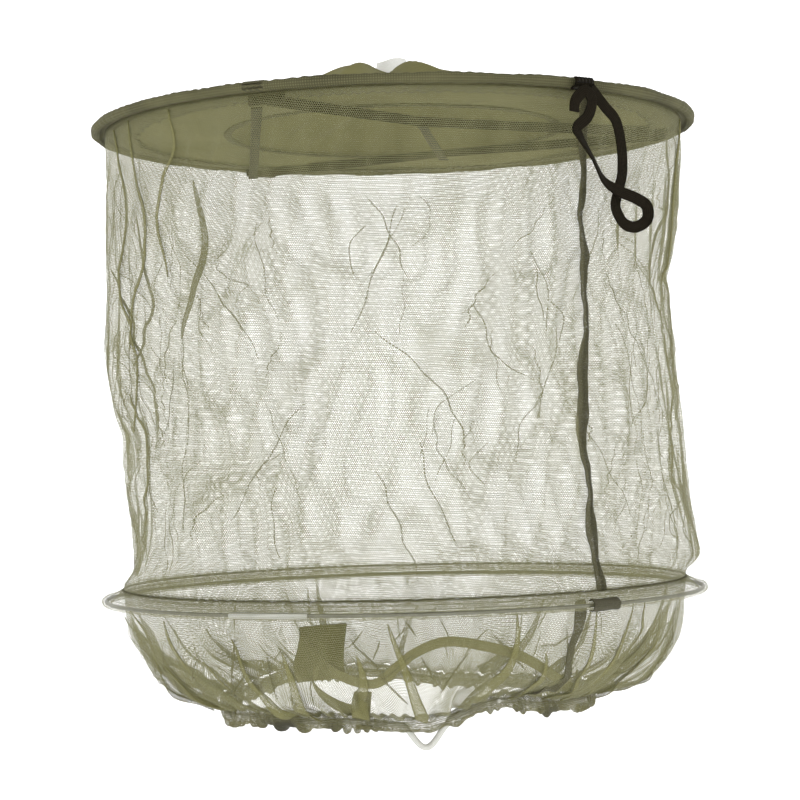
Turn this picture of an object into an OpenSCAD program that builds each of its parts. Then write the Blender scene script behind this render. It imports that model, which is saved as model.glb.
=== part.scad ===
// Pop-up beekeeping veil. Two spring-steel hoops hold a cloth crown and a tube of netting, a
// tapered skirt gathers into an elastic neck hem, and a strap harness seats the crown on a head.
// Frame: origin at the centre of the upper hoop, +Z up, side seam at -Y, back patch at +Y.

/* [Hoops] */
// Diameter of both hoops, at the middle of the wire
hoop_d = 340; // [280:1:400]
// Height from the upper hoop down to the lower hoop
hoop_gap = 266; // [200:1:320]
// Thickness of the spring-steel wire
wire_d = 2.2; // [1.6:0.1:3]
// Length of the sleeve that joins the ends of a wire
sleeve_l = 44; // [25:1:60]
// Wall of that sleeve
sleeve_t = 0.6; // [0.4:0.1:1]

/* [Crown] */
// Thickness of the crown cloth
cloth_t = 0.8; // [0.5:0.1:1.2]
// Diameter of the crown pocket where it joins the top panel
crown_d = 190; // [150:1:220]
// Height of the crown pocket above the upper hoop
crown_h = 34; // [20:1:50]
// Width of the seam allowance under the pocket's edge
crown_seam_w = 4; // [2:0.5:8]
// Wall of the cloth binding round the upper wire
binding_t = 0.75; // [0.5:0.05:2]
// Width of the binding's flat flange, inward from the middle of the wire
flange_w = 14; // [12:0.5:20]
// Thickness of that flange
flange_t = 2.4; // [2:0.1:3]
// Width, height and thickness of the blank care label
label_w = 20; // [12:1:30]
label_h = 10; // [6:0.5:16]
label_t = 1; // [0.6:0.1:1.5]

/* [Netting] */
// Thickness of the netting as a plain wall
net_t = 0.5; // [0.4:0.05:1]
// How far the netting hangs inside the middle of the wire
net_inset = 10; // [8:0.5:14]
// Width and thickness of the side seam
seam_w = 5; // [3:0.5:8]
seam_t = 1.2; // [0.8:0.1:2]
// Wall of the net casing round the lower wire
casing_t = 0.6; // [0.4:0.1:1]
// Rise of the casing's stitch line above the lower hoop
casing_rise = 5.5; // [4:0.5:8]

/* [Skirt and neck] */
// Radius of the neck hem at the middle of its casing
neck_r = 104; // [85:1:120]
// Depth from the lower hoop to the middle of the neck hem
neck_drop = 62; // [45:1:90]
// How far the skirt bulges out of the straight line from hoop to hem
skirt_bulge = 14; // [8:1:20]
// Radial width and height of the hem casing
hem_w = 10; // [8:0.5:14]
hem_h = 12; // [9:0.5:16]
// Thickness of the neck elastic
elastic_d = 3.6; // [2.5:0.1:4.5]
// How far the open bight of neck elastic hangs below the hem's middle
bight_drop = 13; // [8:1:20]

/* [Straps] */
// Width and thickness of the harness elastic
strap_w = 6; // [5:0.5:12]
strap_t = 1.2; // [0.8:0.1:2]
// Height from the upper hoop down to the top of the harness
harness_drop = 1.6; // [1.4:0.1:10]
// Thickness of the rim tabs that hold the harness
tab_t = 3; // [2:0.5:4]
// Width and thickness of the elastic in the storage and arm loops
loop_w = 6; // [4:0.5:8]
loop_t = 1.2; // [0.8:0.1:2]

/* [Hidden] */
$fn = 96;

cloth_colour = "#7d7a50";
binding_colour = "#6b6a48";
net_colour = "#a8a67c";
strap_colour = "#4a4634";
elastic_colour = "#1e1b14";
steel_colour = "#9a9a98";
sleeve_colour = "#b9bab8";
label_colour = "#e8e8e2";

// Clearances
sleeve_gap = 0.05;  // wire in its sleeve
casing_gap = 0.1;   // sleeve in its cloth casing
panel_gap = 0.2;    // panel edge in the binding's slot
body_gap = 0.3;     // between pieces that move apart
swing_gap = 3;      // end of a swinging loop to the piece it is sewn to

// Hoops
hoop_r = hoop_d / 2;
wire_r = wire_d / 2;
sleeve_bore_r = wire_r + sleeve_gap;
sleeve_r = sleeve_bore_r + sleeve_t;
cavity_r = sleeve_r + casing_gap;
binding_r = cavity_r + binding_t;
casing_r = cavity_r + casing_t;
wire_end_gap = 1;   // between the wire's two ends, inside the sleeve

// Crown
crown_r = crown_d / 2;
crown_ball_r = (pow(crown_r, 2) + pow(crown_h - cloth_t / 2, 2)) / (2 * (crown_h - cloth_t / 2));
crown_ball_z = crown_h - crown_ball_r;
flange_r = hoop_r - flange_w;
slot_wall = 1.15;   // cloth between the slot's end and the wire's cavity
slot_r = hoop_r - cavity_r - slot_wall;
panel_r = slot_r - panel_gap;

// Netting
net_r = hoop_r - net_inset;
net_top_z = -flange_t / 2;
fin_z = -hoop_gap + casing_rise;
fin_t = 2 * casing_t;
net_bottom_z = fin_z + fin_t / 2 + body_gap;

// Skirt: an arc in the radius-height plane, from under the casing's fin to beside the hem
neck_z = -hoop_gap - neck_drop;
fin_slope = casing_rise / net_inset;
skirt_top = [net_r, fin_z - fin_t / 2 * sqrt(1 + fin_slope * fin_slope)];
skirt_foot = [neck_r + hem_w / 2 + body_gap, neck_z + hem_h / 3];
skirt_run = skirt_foot - skirt_top;
skirt_chord = norm(skirt_run);
skirt_arc_r = pow(skirt_chord, 2) / (8 * skirt_bulge) + skirt_bulge / 2;
skirt_out = [-skirt_run.y, skirt_run.x] / skirt_chord;
skirt_centre = (skirt_top + skirt_foot) / 2 - skirt_out * (skirt_arc_r - skirt_bulge);

// Neck hem
hem_in_r = neck_r - hem_w / 2;
hem_out_r = neck_r + hem_w / 2;
elastic_r = elastic_d / 2;
hem_bore_r = elastic_r + 0.5;
tab_in_r = hem_in_r - 1.3;
arm_z = neck_z + 8;
bight_angle = -28;   // heading of the bight, from -Y towards +X
bight_span = 20;     // angle that the hem's window spans

// Headings of the rim's three harness anchors, from -Y towards +X
near_anchor = -57;
right_anchor = 60;
back_anchor = 180;
arm_tab_left = -47;
arm_tab_right = 46;
// Heading of the side seam of the netting
seam_heading = 4;
anchor_spread = 2.4; // half the angle between two straps sewn to one tab
tab_span = 8;        // angle that a rim tab spans

// Harness
strap_top_z = -harness_drop;
strap_bottom_z = strap_top_z - strap_w;
flat_bottom_z = strap_bottom_z - strap_t;
strap_end_r = hoop_r - flange_w;
knot_near = [-22, -64];
knot_far = [56, 32];
link_tail = 10;      // cut end of the link past the far strap

// Storage loop: the route of its elastic, hanging outside the rim at the side seam
loop_y = -(hoop_r + binding_r + 5);
loop_top_z = 0.5;
tack_r = -loop_y - 2.4;
storage_route = [
    [5, 0, -4], [14, 0, -13], [21, 0, -20], [24, 0, -33], [24, 0, -46], [21, 0, -56],
    [19, 0, -64], [23, -1, -72], [30, -2, -74], [37, -3, -70], [37, -3, -63],
    [29, -3, -59], [19, -2.6, -56], [10, -2.4, -51], [3, -2.4, -40], [-4, -2.2, -30],
    [-6, -2, -25], [1, -2, -19], [4, -2, -11], [0, -2, -6], [-6, -1.6, -11], [-7, -1.4, -17]
];

// Arm loops: routes of their elastic from the back patch to the front tabs. A point is its share
// of the straight run between the two, its bow outward from that run, and its rise above arm_z.
arm_left_route = [[0, 0, 2], [0.15, 7, 0], [0.37, 9.5, -3], [0.59, 8, -5], [0.81, 5, -5], [1, 0, -3]];
arm_right_route = [
    [0, 0, 2], [0.06, 1.4, -3], [0.13, 2.5, -6], [0.21, 2.3, -5], [0.3, 2.1, 6], [0.37, 2.7, 14],
    [0.49, 3, 21], [0.63, 3, 20], [0.79, 2.6, 15], [0.91, 2, 6], [1, 0, -2]
];
arm_start_spread = 2.5; // angle of each loop's start from the middle of the patch
arm_end_r = tab_in_r - swing_gap;

// Point on the plan at a radius and a heading from -Y towards +X
function plan(r, heading) = [r * sin(heading), -r * cos(heading)];

// Point of a Catmull-Rom curve through the route p, at share u past point i
function curve(p, i, u) =
    let (n = len(p), a = p[max(i - 1, 0)], b = p[i], c = p[min(i + 1, n - 1)], d = p[min(i + 2, n - 1)])
    (2 * b + (c - a) * u + (2 * a - 5 * b + 4 * c - d) * u * u + (3 * b - a - 3 * c + d) * u * u * u) / 2;

// The same curve as a list of points, with m steps between neighbours
function smooth(p, m) = [
    for (i = [0 : len(p) - 2]) for (k = [0 : m - 1]) curve(p, i, k / m),
    p[len(p) - 1]
];

function unit(v) = v / norm(v);
function heading_at(q, i) = unit(q[min(i + 1, len(q) - 1)] - q[max(i - 1, 0)]);

// A flat tape of width w and thickness t along the route q. face() is the side it shows:
// a tape that hangs shows its face to -Y, one that lies on edge shows it sideways.
module tape(q, w, t, hangs) {
    n = len(q);
    corners = [for (i = [0 : n - 1])
        let (h = heading_at(q, i),
             face = hangs ? unit([0, -1, 0] + h.y * h) : unit(cross([0, 0, 1], h)),
             side = cross(h, face))
        each [for (s = [[1, 1], [-1, 1], [-1, -1], [1, -1]])
            q[i] + side * s.x * w / 2 + face * s.y * t / 2]
    ];
    skin = [for (i = [0 : n - 2]) for (k = [0 : 3])
        let (a = 4 * i + k, b = 4 * i + (k + 1) % 4)
        each [[a, b, a + 4], [b, b + 4, a + 4]]
    ];
    last = 4 * (n - 1);
    ends = [[0, 2, 1], [0, 3, 2], [last, last + 1, last + 2], [last, last + 2, last + 3]];
    polyhedron(points = corners, faces = concat(skin, ends));
}

// Part of a ring that spans an angle and is centred on a heading from -Y towards +X
module sector(heading, span) {
    rotate([0, 0, heading - 90 - span / 2]) rotate_extrude(angle = span) children();
}

// A ring's rectangular section, from radius r0 to r1 and from height z0 to z1
module section(r0, r1, z0, z1) {
    translate([r0, z0]) square([r1 - r0, z1 - z0]);
}

// Wire, sleeve: a hoop of wire at height z, its ends in a sleeve centred on a heading
module hoop_wire(z, heading) {
    open = wire_end_gap / hoop_r * 180 / PI;
    translate([0, 0, z]) sector(heading + 180, 360 - open) translate([hoop_r, 0]) circle(wire_r);
}

module hoop_sleeve(z, heading) {
    translate([0, 0, z]) sector(heading, sleeve_l / hoop_r * 180 / PI) translate([hoop_r, 0])
        difference() {
            circle(sleeve_r);
            circle(sleeve_bore_r);
        }
}

module top_panel() {
    color(cloth_colour) rotate_extrude() section(crown_r, panel_r, -cloth_t / 2, cloth_t / 2);
}

// Soft dome above the panel, open below, whose cut edge meets the panel's inner edge
module crown_pocket() {
    color(cloth_colour) intersection() {
        translate([0, 0, crown_ball_z]) difference() {
            sphere(crown_ball_r);
            sphere(crown_ball_r - cloth_t);
        }
        translate([0, 0, -cloth_t / 2]) cylinder(r = crown_r, h = crown_h + cloth_t);
    }
}

module crown_seam() {
    color(binding_colour) rotate_extrude()
        section(crown_r - 0.4 * crown_seam_w, crown_r + 0.6 * crown_seam_w,
                -cloth_t / 2 - cloth_t, -cloth_t / 2);
}

// Blank folded label sewn into the top of the pocket
module crown_label() {
    color(label_colour) difference() {
        translate([0, 0, crown_h]) rotate([90, 0, -33])
            linear_extrude(label_t, center = true)
                polygon([[-label_w / 2, -label_t], [label_w / 2, -label_t], [0.4 * label_w, label_h * 0.6],
                         [0.1 * label_w, label_h], [-0.4 * label_w, 0.8 * label_h]]);
        translate([0, 0, crown_ball_z]) sphere(crown_ball_r);
    }
}

module upper_hoop_wire() {
    color(steel_colour) hoop_wire(0, right_anchor + 60);
}

module upper_hoop_sleeve() {
    color(sleeve_colour) hoop_sleeve(0, right_anchor + 60);
}

// Cloth tape folded round the wire, with a flange that takes the panel's edge in a slot
module upper_hoop_binding() {
    color(binding_colour) rotate_extrude() difference() {
        union() {
            translate([hoop_r, 0]) circle(binding_r);
            section(flange_r, hoop_r - cavity_r, -flange_t / 2, flange_t / 2);
        }
        translate([hoop_r, 0]) circle(cavity_r);
        section(flange_r - 1, slot_r, -cloth_t / 2, cloth_t / 2);
    }
}

// Bar tacks over the outside of the binding, where the three harness tabs are sewn on
module rim_tacks() {
    color(binding_colour) for (a = [near_anchor, right_anchor, back_anchor])
        sector(a, 4) intersection() {
            translate([hoop_r, 0]) difference() {
                circle(binding_r + 0.7);
                circle(binding_r);
            }
            section(hoop_r, hoop_r + 2 * binding_r, -2 * binding_r, 2 * binding_r);
        }
}

// A strap on edge from plan point a to plan point b, mitred where it turns at the knot
module upright_strap(a, knot, b) {
    left_a = unit([a.y - knot.y, knot.x - a.x]);
    left_b = unit([knot.y - b.y, b.x - knot.x]);
    half = strap_t / 2;
    mitre = (left_a + left_b) * half / (1 + left_a * left_b);
    translate([0, 0, strap_bottom_z]) linear_extrude(strap_w)
        polygon([a + left_a * half, knot + mitre, b + left_b * half,
                 b - left_b * half, knot - mitre, a - left_a * half]);
}

// A strap lying flat under the upright ones, from plan point a to plan point b
module flat_bar(a, b) {
    run = b - a;
    translate([a.x, a.y, flat_bottom_z]) rotate([0, 0, atan2(run.y, run.x)])
        translate([0, -strap_w / 2, 0]) cube([norm(run), strap_w, strap_t]);
}

// What is inside the rim tabs' inner faces, so that the straps end flush on them
module inside_tabs() {
    intersection() {
        children();
        translate([0, 0, 2 * flat_bottom_z]) cylinder(r = strap_end_r, h = -2 * flat_bottom_z);
    }
}

module harness_strap_near() {
    color(strap_colour) inside_tabs()
        upright_strap(plan(hoop_r, near_anchor), knot_near, plan(hoop_r, right_anchor - anchor_spread));
}

module harness_strap_far() {
    color(strap_colour) inside_tabs()
        upright_strap(plan(hoop_r, back_anchor), knot_far, plan(hoop_r, right_anchor + anchor_spread));
}

module harness_strap_side() {
    color(strap_colour) inside_tabs()
        flat_bar(plan(hoop_r, near_anchor - anchor_spread), plan(hoop_r, back_anchor + anchor_spread));
}

module harness_link() {
    run = unit(knot_far - knot_near);
    color(strap_colour) flat_bar(knot_near - run * strap_w / 2, knot_far + run * link_tail);
}

// Webbing tabs that hang from the binding's flange inside the netting
module harness_tabs() {
    color(strap_colour) for (a = [near_anchor, right_anchor, back_anchor])
        sector(a, tab_span) section(strap_end_r, strap_end_r + tab_t, flat_bottom_z, net_top_z);
}

// Black stitched block on the outside of the binding that holds the storage loop
module storage_loop_tack() {
    color(elastic_colour) sector(1, 4.6) difference() {
        section(hoop_r, tack_r, -binding_r, binding_r);
        translate([hoop_r, 0]) circle(binding_r);
    }
}

module veil_net() {
    color(net_colour) rotate_extrude() section(net_r, net_r + net_t, net_bottom_z, net_top_z);
}

module veil_seam() {
    color(binding_colour) sector(seam_heading, seam_w / net_r * 180 / PI)
        section(net_r + net_t, net_r + net_t + seam_t, net_bottom_z, net_top_z);
}

module lower_hoop_wire() {
    color(steel_colour) hoop_wire(-hoop_gap, near_anchor);
}

module lower_hoop_sleeve() {
    color(sleeve_colour) hoop_sleeve(-hoop_gap, near_anchor);
}

// Section of the casing's fin, from the tube's wall up to the stitch line
module fin_section() {
    tip = [net_r, fin_z];
    root = [hoop_r, -hoop_gap];
    fin = unit(tip - root);
    edge = [-fin.y, fin.x] * fin_t / 2;
    start = root + fin * cavity_r;
    polygon([start + edge, start - edge, tip - edge, tip + edge]);
}

// Thin net casing: a tube round the wire and a fin up to the stitch line
module lower_hoop_casing() {
    color(net_colour) rotate_extrude() difference() {
        union() {
            translate([hoop_r, -hoop_gap]) circle(casing_r);
            fin_section();
        }
        translate([hoop_r, -hoop_gap]) circle(cavity_r);
    }
}

// Lapped end of the casing where the side seam meets it
module casing_overlap() {
    color(binding_colour) sector(4, 5) intersection() {
        translate([hoop_r, -hoop_gap]) difference() {
            circle(casing_r + 0.8);
            circle(casing_r);
        }
        section(hoop_r, hoop_r + 2 * casing_r, -hoop_gap - 2 * casing_r, -hoop_gap + 2 * casing_r);
    }
}

// The skirt's arc in section, from t0 to t1 outside its inner line, cut flush under the fin
module skirt_section(t0, t1) {
    far = 2 * skirt_arc_r;
    intersection() {
        translate(skirt_centre) difference() {
            circle(skirt_arc_r + t1, $fn = 180);
            circle(skirt_arc_r + t0, $fn = 180);
        }
        polygon([skirt_centre, skirt_centre + unit(skirt_top + [0, net_inset] - skirt_centre) * far,
                 skirt_centre + skirt_out * far, skirt_centre + unit(skirt_foot - skirt_centre) * far]);
        polygon([[0, skirt_top.y + fin_slope * net_r], [2 * net_r, skirt_top.y - fin_slope * net_r],
                 [2 * net_r, 2 * neck_z], [0, 2 * neck_z]]);
    }
}

module skirt_net() {
    color(net_colour) rotate_extrude() skirt_section(0, net_t);
}

module skirt_seam() {
    color(binding_colour) sector(seam_heading, seam_w / net_r * 180 / PI) difference() {
        skirt_section(net_t, net_t + seam_t);
        fin_section();
    }
}

// Gathered casing of the neck, with a window below where the elastic comes out
module neck_hem() {
    color(net_colour) difference() {
        rotate_extrude() difference() {
            section(hem_in_r, hem_out_r, neck_z - hem_h / 2, neck_z + hem_h / 2);
            translate([neck_r, neck_z]) circle(hem_bore_r);
        }
        sector(bight_angle, bight_span)
            section(neck_r - hem_bore_r, neck_r + hem_bore_r, neck_z - hem_h, neck_z);
    }
}

// Neck elastic: a ring in the hem that drops out of the window in one bight
module neck_elastic() {
    rings = 72;
    sides = 8;
    half = bight_span / 2 - 2;
    middle = [for (i = [0 : rings - 1])
        let (a = i < 24 ? -half + 2 * half * i / 24 : half + (360 - 2 * half) * (i - 24) / (rings - 24),
             sag = i < 24 ? bight_drop * pow(cos(90 * a / half), 2) : 0)
        [a + bight_angle, neck_z - sag]
    ];
    points = [for (m = middle) each [for (k = [0 : sides - 1])
        let (r = neck_r + elastic_r * cos(360 * k / sides), p = plan(r, m.x))
        [p.x, p.y, m.y + elastic_r * sin(360 * k / sides)]]
    ];
    faces = [for (i = [0 : rings - 1]) for (k = [0 : sides - 1])
        let (j = (i + 1) % rings, l = (k + 1) % sides,
             a = i * sides + k, b = i * sides + l, c = j * sides + l, d = j * sides + k)
        each [[a, b, c], [a, c, d]]
    ];
    color(label_colour) polyhedron(points = points, faces = faces);
}

// Doubled cloth patch at the back of the hem, where both arm loops start
module anchor_patch() {
    color(cloth_colour) sector(180, 20) section(tab_in_r, hem_in_r, neck_z - hem_h / 2, neck_z + 38);
}

// Bar-tacked tabs at the front of the hem, where the arm loops end
module arm_loop_tabs() {
    color(binding_colour) for (a = [arm_tab_left, arm_tab_right])
        sector(a, 6) section(tab_in_r, hem_in_r, neck_z - 4, neck_z + 16);
}

module storage_loop() {
    color(elastic_colour) translate([0, loop_y, loop_top_z])
        tape(smooth(storage_route, 3), loop_w, loop_t, true);
}

// An arm loop's tape from plan point a to plan point b; out is the side it bows to, 1 or -1
module arm_loop(a, b, route, out) {
    run = b - a;
    side = unit([run.y, -run.x]) * out;
    points = [for (p = route) let (q = a + run * p.x + side * p.y) [q.x, q.y, arm_z + p.z]];
    color(cloth_colour) tape(smooth(points, 3), loop_w, loop_t, false);
}

module arm_loop_left() {
    arm_loop(plan(arm_end_r, 180 + arm_start_spread), plan(arm_end_r, arm_tab_left), arm_left_route, 1);
}

module arm_loop_right() {
    arm_loop(plan(arm_end_r, 180 - arm_start_spread), plan(arm_end_r, arm_tab_right), arm_right_route, -1);
}

top_panel();
crown_pocket();
crown_seam();
crown_label();
upper_hoop_wire();
upper_hoop_sleeve();
upper_hoop_binding();
rim_tacks();
harness_strap_near();
harness_strap_far();
harness_strap_side();
harness_link();
harness_tabs();
storage_loop_tack();
veil_net();
veil_seam();
lower_hoop_wire();
lower_hoop_sleeve();
lower_hoop_casing();
casing_overlap();
skirt_net();
skirt_seam();
neck_hem();
neck_elastic();
anchor_patch();
arm_loop_tabs();
storage_loop();
arm_loop_left();
arm_loop_right();
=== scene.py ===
"""Visual model of a pop-up beekeeping veil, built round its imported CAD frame.

Two spring-steel hoops carry a cloth crown and a tube of netting. A gathered skirt ends in an
elastic neck hem, a strap harness hangs under the crown, and a black elastic loop hangs from the rim.
Lengths are metres. A heading is an angle from -Y, where the side seam is, towards +X.
"""
from __future__ import annotations

import logging
import math
from dataclasses import dataclass, field
from enum import Enum

import bpy
import numpy as np
from mathutils import Matrix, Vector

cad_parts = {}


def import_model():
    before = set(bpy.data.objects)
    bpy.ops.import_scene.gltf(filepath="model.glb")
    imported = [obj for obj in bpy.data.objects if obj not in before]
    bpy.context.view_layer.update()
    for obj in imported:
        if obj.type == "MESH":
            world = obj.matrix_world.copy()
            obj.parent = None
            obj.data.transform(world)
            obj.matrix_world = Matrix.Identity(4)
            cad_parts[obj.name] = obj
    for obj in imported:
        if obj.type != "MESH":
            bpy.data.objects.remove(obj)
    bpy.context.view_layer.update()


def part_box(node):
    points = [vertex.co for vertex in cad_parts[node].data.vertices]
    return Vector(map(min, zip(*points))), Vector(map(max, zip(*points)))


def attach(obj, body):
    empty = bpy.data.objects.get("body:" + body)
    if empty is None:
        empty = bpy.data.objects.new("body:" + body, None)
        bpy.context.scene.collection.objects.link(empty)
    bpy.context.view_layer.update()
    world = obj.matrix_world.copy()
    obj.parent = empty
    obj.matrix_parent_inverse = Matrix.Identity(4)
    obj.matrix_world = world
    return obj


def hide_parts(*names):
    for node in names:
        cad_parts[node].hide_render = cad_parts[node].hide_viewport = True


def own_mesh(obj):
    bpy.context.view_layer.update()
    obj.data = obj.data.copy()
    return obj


MM = 0.001
LOG = logging.getLogger("veil")
CUT_KEY = "cut"
ANCHORS = (-57.0, 60.0, 180.0)  # headings of the harness's ends, in degrees: left, right and back
LOOP_HEADING = 1.0  # heading of the storage loop, in degrees


# ---------------------------------------------------------------- shapes


class Facing(Enum):
    """Which way a tape shows its broad side."""

    OUT = "towards -Y"
    SIDE = "sideways, so that the tape stands on its edge"


def plan(radius: np.ndarray | float, heading: np.ndarray | float) -> np.ndarray:
    """Points on the plan at a radius and a heading.

    Args:
        radius: distance from the hoops' axis.
        heading: angle from -Y towards +X, in radians.

    Returns:
        An array whose last axis is x, y.
    """
    return np.stack([radius * np.sin(heading), -radius * np.cos(heading)], axis=-1)


def around(
    radius: np.ndarray | float, heading: np.ndarray | float, height: np.ndarray | float
) -> np.ndarray:
    """Points round the hoops' axis: the plan point at a radius and a heading, raised to a height.

    Args:
        radius: distance from the hoops' axis.
        heading: angle from -Y towards +X, in radians.
        height: z.

    Returns:
        An array of the three shapes' common shape, with a last axis of x, y, z.
    """
    radius, heading, height = np.broadcast_arrays(radius, heading, height)
    return np.concatenate([plan(radius, heading), height[..., None]], axis=-1)


def unit(v: np.ndarray) -> np.ndarray:
    """Vectors of length one along the last axis."""
    return v / np.maximum(np.linalg.norm(v, axis=-1, keepdims=True), 1e-12)


def ease(x: np.ndarray) -> np.ndarray:
    """Smooth step from 0 to 1 while x goes from 0 to 1: 3x squared less 2x cubed."""
    x = np.clip(x, 0.0, 1.0)
    return x * x * (3.0 - 2.0 * x)


def smooth_path(route: np.ndarray, per: int) -> np.ndarray:
    """Catmull-Rom curve through a route, as whole arrays.

    Each stretch is half of (2b + (c-a)u + (2a-5b+4c-d)u^2 + (3b-a-3c+d)u^3).

    Args:
        route: n points of any dimension.
        per: steps between neighbouring points.

    Returns:
        (n - 1) * per + 1 points.
    """
    route = np.asarray(route, float)
    padded = np.vstack([route[:1], route, route[-1:]])
    a, b, c, d = (padded[i : len(route) - 1 + i, None, :] for i in range(4))
    u = (np.arange(per) / per)[None, :, None]
    square, cube = 2 * a - 5 * b + 4 * c - d, 3 * b - a - 3 * c + d
    run = 0.5 * (2 * b + (c - a) * u + square * u**2 + cube * u**3)
    return np.vstack([run.reshape(-1, route.shape[1]), route[-1:]])


def ripple(
    rng: np.random.Generator,
    u: np.ndarray,
    v: np.ndarray,
    turns: tuple[int, int],
    climbs: tuple[float, float],
    waves: int,
) -> np.ndarray:
    """Smooth noise that closes on itself round the axis.

    It is a mean of cosines of (whole turns times u, plus climb times v, plus a phase).

    Args:
        rng: seeded generator.
        u: heading in radians.
        v: height in metres.
        turns: lowest and highest whole number of waves round the axis.
        climbs: lowest and highest climb, in radians per metre.
        waves: how many cosines are added.

    Returns:
        Noise of the shape of u, with a spread of about one.
    """
    total = np.zeros(np.broadcast(u, v).shape)
    for _ in range(waves):
        k = int(rng.integers(turns[0], turns[1] + 1))
        climb = rng.uniform(*climbs) * rng.choice([-1.0, 1.0])
        total += np.cos(k * u + climb * v + rng.uniform(0, 2 * math.pi))
    return total / math.sqrt(waves / 2.0)


def grid_mesh(
    name: str,
    points: np.ndarray,
    across: np.ndarray,
    along: np.ndarray,
    closed: tuple[bool, bool] = (False, False),
    gather_and_shade: np.ndarray | None = None,
    capped: bool = False,
) -> bpy.types.Object:
    """An object from a grid of points, with UVs in metres of cloth.

    Args:
        name: the object's name.
        points: array (nu, nv, 3).
        across: U of each column, one longer than nu where the grid closes in u.
        along: V of each row, one longer than nv where it closes in v.
        closed: whether the grid closes on itself in u and in v.
        gather_and_shade: optional share from 0 to 1 at each point, for materials that grow denser.
        capped: closes both ends of a grid that is closed in v.

    Returns:
        The new object, at the origin.
    """
    nu, nv, _ = points.shape
    iu = np.arange(nu if closed[0] else nu - 1)
    iv = np.arange(nv if closed[1] else nv - 1)
    i, j = (g.ravel() for g in np.meshgrid(iu, iv, indexing="ij"))
    corner_u = np.stack([i, i + 1, i + 1, i], axis=1)
    corner_v = np.stack([j, j, j + 1, j + 1], axis=1)
    quads = (corner_u % nu) * nv + corner_v % nv
    faces = quads.tolist()
    uv = np.stack([np.asarray(across)[corner_u], np.asarray(along)[corner_v]], axis=-1).reshape(-1, 2)
    if capped:
        ring = np.arange(nv)
        faces += [ring[::-1].tolist(), ((nu - 1) * nv + ring).tolist()]
        ends = np.repeat([[across[0], 0.0], [across[-1], 0.0]], nv, axis=0)
        uv = np.vstack([uv, ends])
    mesh = bpy.data.meshes.new(name)
    mesh.from_pydata(points.reshape(-1, 3).tolist(), [], faces)
    layer = mesh.uv_layers.new(name="UVMap")
    layer.data.foreach_set("uv", uv.astype(np.float32).ravel())
    # this value makes a netting denser and darkens it with painted shade
    if gather_and_shade is not None:
        attribute = mesh.attributes.new("gather_and_shade", "FLOAT", "POINT")
        attribute.data.foreach_set("value", gather_and_shade.astype(np.float32).ravel())
    mesh.polygons.foreach_set("use_smooth", np.ones(len(mesh.polygons), bool))
    mesh.update()
    obj = bpy.data.objects.new(name, mesh)
    bpy.context.scene.collection.objects.link(obj)
    return obj


def frames_along(path: np.ndarray, facing: Facing, roll: np.ndarray) -> tuple[np.ndarray, np.ndarray]:
    """The face and side directions of a tape along a path.

    The face is the asked direction made square to the path, then turned about it by roll.

    Args:
        path: n points.
        facing: which way the broad side shows.
        roll: turn about the path at each point, in radians.

    Returns:
        Two arrays of n unit vectors: face and side.
    """
    heading = unit(np.gradient(path, axis=0))
    if facing is Facing.OUT:
        face = np.array([0.0, -1.0, 0.0]) + heading[:, 1:2] * heading
    else:
        face = np.cross([0.0, 0.0, 1.0], heading)
    face = unit(face)
    side = np.cross(heading, face)
    c, s = np.cos(roll)[:, None], np.sin(roll)[:, None]
    return face * c + side * s, side * c - face * s


def tape_mesh(
    name: str,
    path: np.ndarray,
    width: float | np.ndarray,
    thick: float,
    facing: Facing,
    roll: np.ndarray | float = 0.0,
    ruffle: float = 0.0,
) -> bpy.types.Object:
    """A flat tape with rounded edges along a path.

    Its section is a flattened loop: width times a softened cosine, thickness times a sine.

    Args:
        name: the object's name.
        path: n points.
        width: width of the tape, one value or one for each point.
        thick: thickness.
        facing: which way the broad side shows.
        roll: turn about the path, in radians.
        ruffle: height of a small wave along the tape's edges.

    Returns:
        The tape's object.
    """
    n = len(path)
    face, side = frames_along(path, facing, np.broadcast_to(np.asarray(roll, float), (n,)))
    turn = np.linspace(0, 2 * math.pi, 24, endpoint=False)
    wide = np.sign(np.cos(turn)) * np.abs(np.cos(turn)) ** 0.35
    high = np.sign(np.sin(turn)) * np.abs(np.sin(turn)) ** 0.3
    half = np.broadcast_to(np.asarray(width, float), (n,))[:, None, None] / 2
    length = np.concatenate([[0], np.cumsum(np.linalg.norm(np.diff(path, axis=0), axis=1))])
    wave = ruffle * np.sin(length / (2.2 * MM))[:, None, None] * (wide**2)[None, :, None]
    points = (
        path[:, None, :]
        + side[:, None, :] * wide[None, :, None] * half
        + face[:, None, :] * (high[None, :, None] * thick / 2 + wave)
    )
    outline = np.stack([wide * float(np.max(width)) / 2, high * thick / 2], axis=-1)[::-1]
    steps = np.linalg.norm(np.roll(outline, -1, axis=0) - outline, axis=1)
    girth = np.concatenate([[0], np.cumsum(steps)])
    return grid_mesh(name, points[:, ::-1], length, girth, (False, True), capped=True)


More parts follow.
